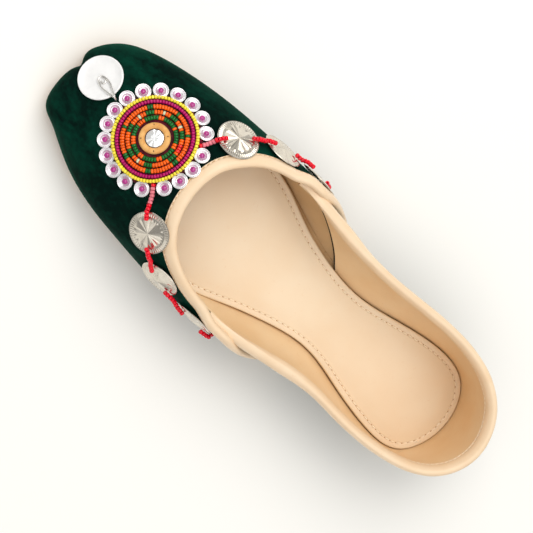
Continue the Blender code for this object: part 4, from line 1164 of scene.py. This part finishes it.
def make_loop():
    """The coin's wire loop, a drop that widens to the coin's middle, its curled end inside it,
    and the eye in which it turns."""
    hinge = next(j for j in frame["joints"] if j["name"] == "coin_flip")
    axis_spot = from_world(np.array(hinge["pos_m"]))
    across = np.array(hinge["axis"])
    normal = COIN_PLACE[1][0][2]
    forward = unit(np.cross(across, normal))
    forward *= np.sign(forward @ (COIN_PLACE[0][0] - axis_spot))
    turn = np.linspace(0.0, TAU, 96, endpoint=False)
    x = COIN_ARM * (0.5 - 0.5 * np.cos(turn))
    half = LOOP_HINGE_HALF + (LOOP_COIN_HALF - LOOP_HINGE_HALF) * smooth(x / COIN_ARM / 0.75)
    y = np.sign(np.sin(turn)) * np.abs(np.sin(turn))**0.7 * half
    path = axis_spot + forward * x[:, None] + across * y[:, None]
    piece("coin_wire", "coin", *wire(path, WIRE, True), WIRE_SILVER, "wire_silver", ["coin_loop"])
    curl = np.linspace(0.0, 1.0, 40)
    bend = math.pi * (0.15 + 1.55 * curl)
    reach = 1.75 - 1.0 * curl
    x = COIN_ARM - 2.4 + np.cos(bend) * reach
    y = np.sin(bend) * reach * 0.9
    path = axis_spot + forward * x[:, None] + across * y[:, None] - normal * 0.05
    piece("coin_wire_curl", "coin", *wire(path, WIRE * 0.9, False), WIRE_SILVER, "wire_silver")
    rise = WIRE * 2.0 + GAP
    bend = np.linspace(0.0, math.pi, 33)
    arch = axis_spot - forward * (rise * np.cos(bend))[:, None] + normal * (rise * np.sin(bend))[:, None]
    feet = []
    for end in (arch[0], arch[-1]):
        local = (end - PATCH.centre) @ np.stack([PATCH.side, PATCH.other]).T
        feet.append(PATCH.at(local[0], local[1], np.array(GAP + 0.05)))
    down = np.linspace(0.0, 1.0, 7)[:-1, None]
    path = np.concatenate([feet[0] + (arch[0] - feet[0]) * down, arch,
                           (feet[1] + (arch[-1] - feet[1]) * down)[::-1]])
    piece("wire_eye", "shoe", *wire(path, WIRE, False), WIRE_SILVER, "wire_silver", ["coin_eye"])


make_loop()


def edge_drop(u, drop):
    """Point on the velvet at a distance down from the vamp's edge along its meridian."""
    share = np.linspace(1.0, 0.0, 80)
    line = vamp_point(np.full_like(share, u), share, 1.0)
    return sampled(line, distances(line), drop)


class Velvet:
    """The velvet as a fine mesh that bead strings are laid on."""

    def __init__(self):
        u, share = np.meshgrid(np.linspace(-7.2, 7.4, 260), np.linspace(0.0, 1.0, 90))
        grid = vamp_point(u, share, 1.0)
        points = [Vector(p) for p in grid.reshape(-1, 3)]
        self.tree = BVHTree.FromPolygons(points, grid_quads(*u.shape).tolist())

    def lay(self, point, height):
        """The point, moved out until it is at least a height off the velvet, and the way up."""
        spot, normal, _, _ = self.tree.find_nearest(Vector(point))
        normal = np.array(normal)
        rise = float((point - np.array(spot)) @ normal)
        return np.array(spot) + normal * max(rise, height), normal


STRAND_BEAD = 1.12           # radius of the red beads
STRAND_PITCH = 1.55          # from one of them to the next
TAUT_ROUNDS = 90             # how often the points of a strand's line are pulled to their middles
LAST_SHOWN = 0.36            # share of the last strand before it tucks in under the wing's edge
HOLE_REACH = 6.8             # how far from a disc's centre the strand goes through it


def over_disc(point, places):
    """The point, lifted clear of the cone of any disc that it passes over."""
    for centre, basis in zip(*places):
        local = (point - centre) @ basis.T
        reach = math.hypot(local[0], local[1])
        if reach < DISC_RADIUS + 1.2 and local[2] > -3.0:
            need = 0.85 + 1.5 * max(0.0, 1.0 - reach / DISC_RADIUS) + STRAND_BEAD
            local[2] = max(local[2], need)
            point = centre + local @ basis
    return point


def laid_line(start, end, velvet, places):
    """Beads' places between two points: a line drawn taut over velvet and discs, each of its
    points pulled to the middle of its neighbours in turn, and then cut at an even pitch."""
    line = start + (end - start) * np.linspace(0.0, 1.0, 32)[:, None]
    up = np.zeros_like(line)
    for _ in range(TAUT_ROUNDS):
        line[1:-1] = (line[:-2] + 2.0 * line[1:-1] + line[2:]) / 4.0
        for k in range(len(line)):
            line[k], up[k] = velvet.lay(line[k], STRAND_BEAD + 0.1)
            line[k] = over_disc(line[k], places)
    run = distances(line)
    count = max(3, round(run[-1] / STRAND_PITCH) + 1)
    at = np.linspace(0.0, run[-1], count)
    spots, up = sampled(line, run, at), sampled(up, run, at)
    along = unit(np.gradient(spots, axis=0))
    return spots, along, unit(up - along * np.sum(up * along, axis=1, keepdims=True))


def make_strands():
    """Red beads strung from the medallion over each disc's rim to its hole, and on to the next."""
    velvet = Velvet()
    for side in ("medial", "lateral"):
        places = frames_of([f"disc_{side}_{k}" for k in (1, 2, 3)])
        angle = math.radians(FIRST_ANGLE[side])
        start = PATCH.round(np.array(FELT_RADIUS + 0.9), np.array(angle), np.array(1.2))
        stops = [start, *places[0], edge_drop(*LAST_PLACE[side])]
        for number in range(4):
            a, b = np.array(stops[number]), np.array(stops[number + 1])
            way = unit(b - a)
            if number > 0:
                a = a + way * HOLE_REACH
            if number < 3:
                b = b - way * HOLE_REACH
            else:
                b = a + (b - a) * LAST_SHOWN
            spots, along, up = laid_line(a, b, velvet, places)
            count = len(spots)
            jitter = np.random.default_rng(40 + number)
            spots = spots + np.cross(up, along) * jitter.normal(0.0, 0.06, (count, 1))
            local, quads = seed(STRAND_PITCH * 0.98, STRAND_BEAD, 10)
            points, faces = many(local, quads, spots, np.stack([along, np.cross(up, along), up], axis=1))
            tints = np.tile(np.array(RED), (count, 1))
            if number == 0:
                tints[1:max(2, int(count * 0.6))] = CLEAR_PINK
            tints = uneven(tints, jitter, 0.07, len(local))
            name = f"strand_{side}_{number + 1}"
            piece(f"beads_of_{name}", "shoe", points, faces, SEED_BEADS, "beads_red", [name], tints)


make_strands()

# The view: millimetres in the part's frame, and the angle of the shoe's length on the picture
CAMERA_AT = (39.8, -293.0, 891.2)
CAMERA_AIM = (2.0, -2.0, 24.0)
CAMERA_ROLL = 44.3
IMAGE = 533.0                # the picture's side in pixels
FOCAL = 2050.0               # focal length in pixels


def make_camera():
    """Camera from above and a little to the toe, rolled so that the shoe lies corner to corner."""
    at, aim = np.array(CAMERA_AT) * MM, np.array(CAMERA_AIM) * MM
    forward = unit(aim - at)
    length = unit(np.array((0.0, 1.0, 0.0)) - forward * forward[1])
    width = np.cross(forward, length)
    roll = math.radians(CAMERA_ROLL)
    right = -width * math.sin(roll) + length * math.cos(roll)
    up = -(width * math.cos(roll) + length * math.sin(roll))
    data = bpy.data.cameras.new("camera")
    data.sensor_width = 36.0
    data.lens = FOCAL / IMAGE * data.sensor_width
    data.clip_start, data.clip_end = 0.01, 20.0
    made = bpy.data.objects.new("camera", data)
    made.matrix_world = Matrix([[*row, p] for row, p in zip(np.stack([right, up, -forward], axis=1), at)]
                               + [[0, 0, 0, 1]])
    bpy.context.scene.collection.objects.link(made)
    bpy.context.scene.camera = made


LIT_SPOT = Vector((0.0, 0.0, 0.02))


def make_light(name, at, size, power, colour):
    """Square soft light at a place in metres, turned to face the shoe."""
    data = bpy.data.lights.new(name, "AREA")
    data.size, data.energy, data.color = size, power, colour
    made = bpy.data.objects.new(name, data)
    made.location = at
    made.rotation_euler = (LIT_SPOT - Vector(at)).to_track_quat("-Z", "Y").to_euler()
    bpy.context.scene.collection.objects.link(made)


WARM = (1.0, 0.985, 0.955)   # tint of the sky and of the key
SKY_STRENGTH = 1.46
SKY = [(0.0, 0.50), (0.20, 0.45), (0.34, 0.22), (0.68, 0.25), (0.80, 0.84), (1.0, 0.88)]


def make_surround():
    """A room with a bright ceiling, darker walls and a pale base, as stops up the sky: the
    walls give the stamped silver its dark creases."""
    around = bpy.data.worlds.new("studio")
    around.use_nodes = True
    tree = around.node_tree
    way = node(tree, "ShaderNodeSeparateXYZ", i0=node(tree, "ShaderNodeTexCoord").outputs["Generated"])
    ramp = node(tree, "ShaderNodeValToRGB", i0=way.outputs[2])
    for place, level in SKY[1:-1]:
        ramp.color_ramp.elements.new(place)
    for element, (place, level) in zip(ramp.color_ramp.elements, SKY):
        element.position = place
        element.color = [level * part for part in WARM] + [1.0]
    tree.links.new(ramp.outputs[0], tree.nodes["Background"].inputs["Color"])
    tree.nodes["Background"].inputs["Strength"].default_value = SKY_STRENGTH
    bpy.context.scene.world = around


def make_stage():
    """Pale floor, the room round it, and two soft lights: the key from the lateral side."""
    half = 3.0
    mesh = bpy.data.meshes.new("floor")
    corners = [(-half, -half, 0.0), (half, -half, 0.0), (half, half, 0.0), (-half, half, 0.0)]
    mesh.from_pydata(corners, [], [(0, 1, 2, 3)])
    floor = bpy.data.objects.new("floor", mesh)
    material, _, _ = new_material("floor", {"Base Color": rgba((0.94, 0.93, 0.90)), "Roughness": 0.6})
    mesh.materials.append(material)
    bpy.context.scene.collection.objects.link(floor)
    make_surround()
    make_light("key", (-0.58, -0.38, 0.98), 0.95, 6.9, WARM)
    make_light("fill", (0.55, 0.65, 0.8), 0.8, 0.9, (1.0, 1.0, 1.0))


make_camera()
make_stage()
bpy.context.scene.view_settings.view_transform = "Standard"
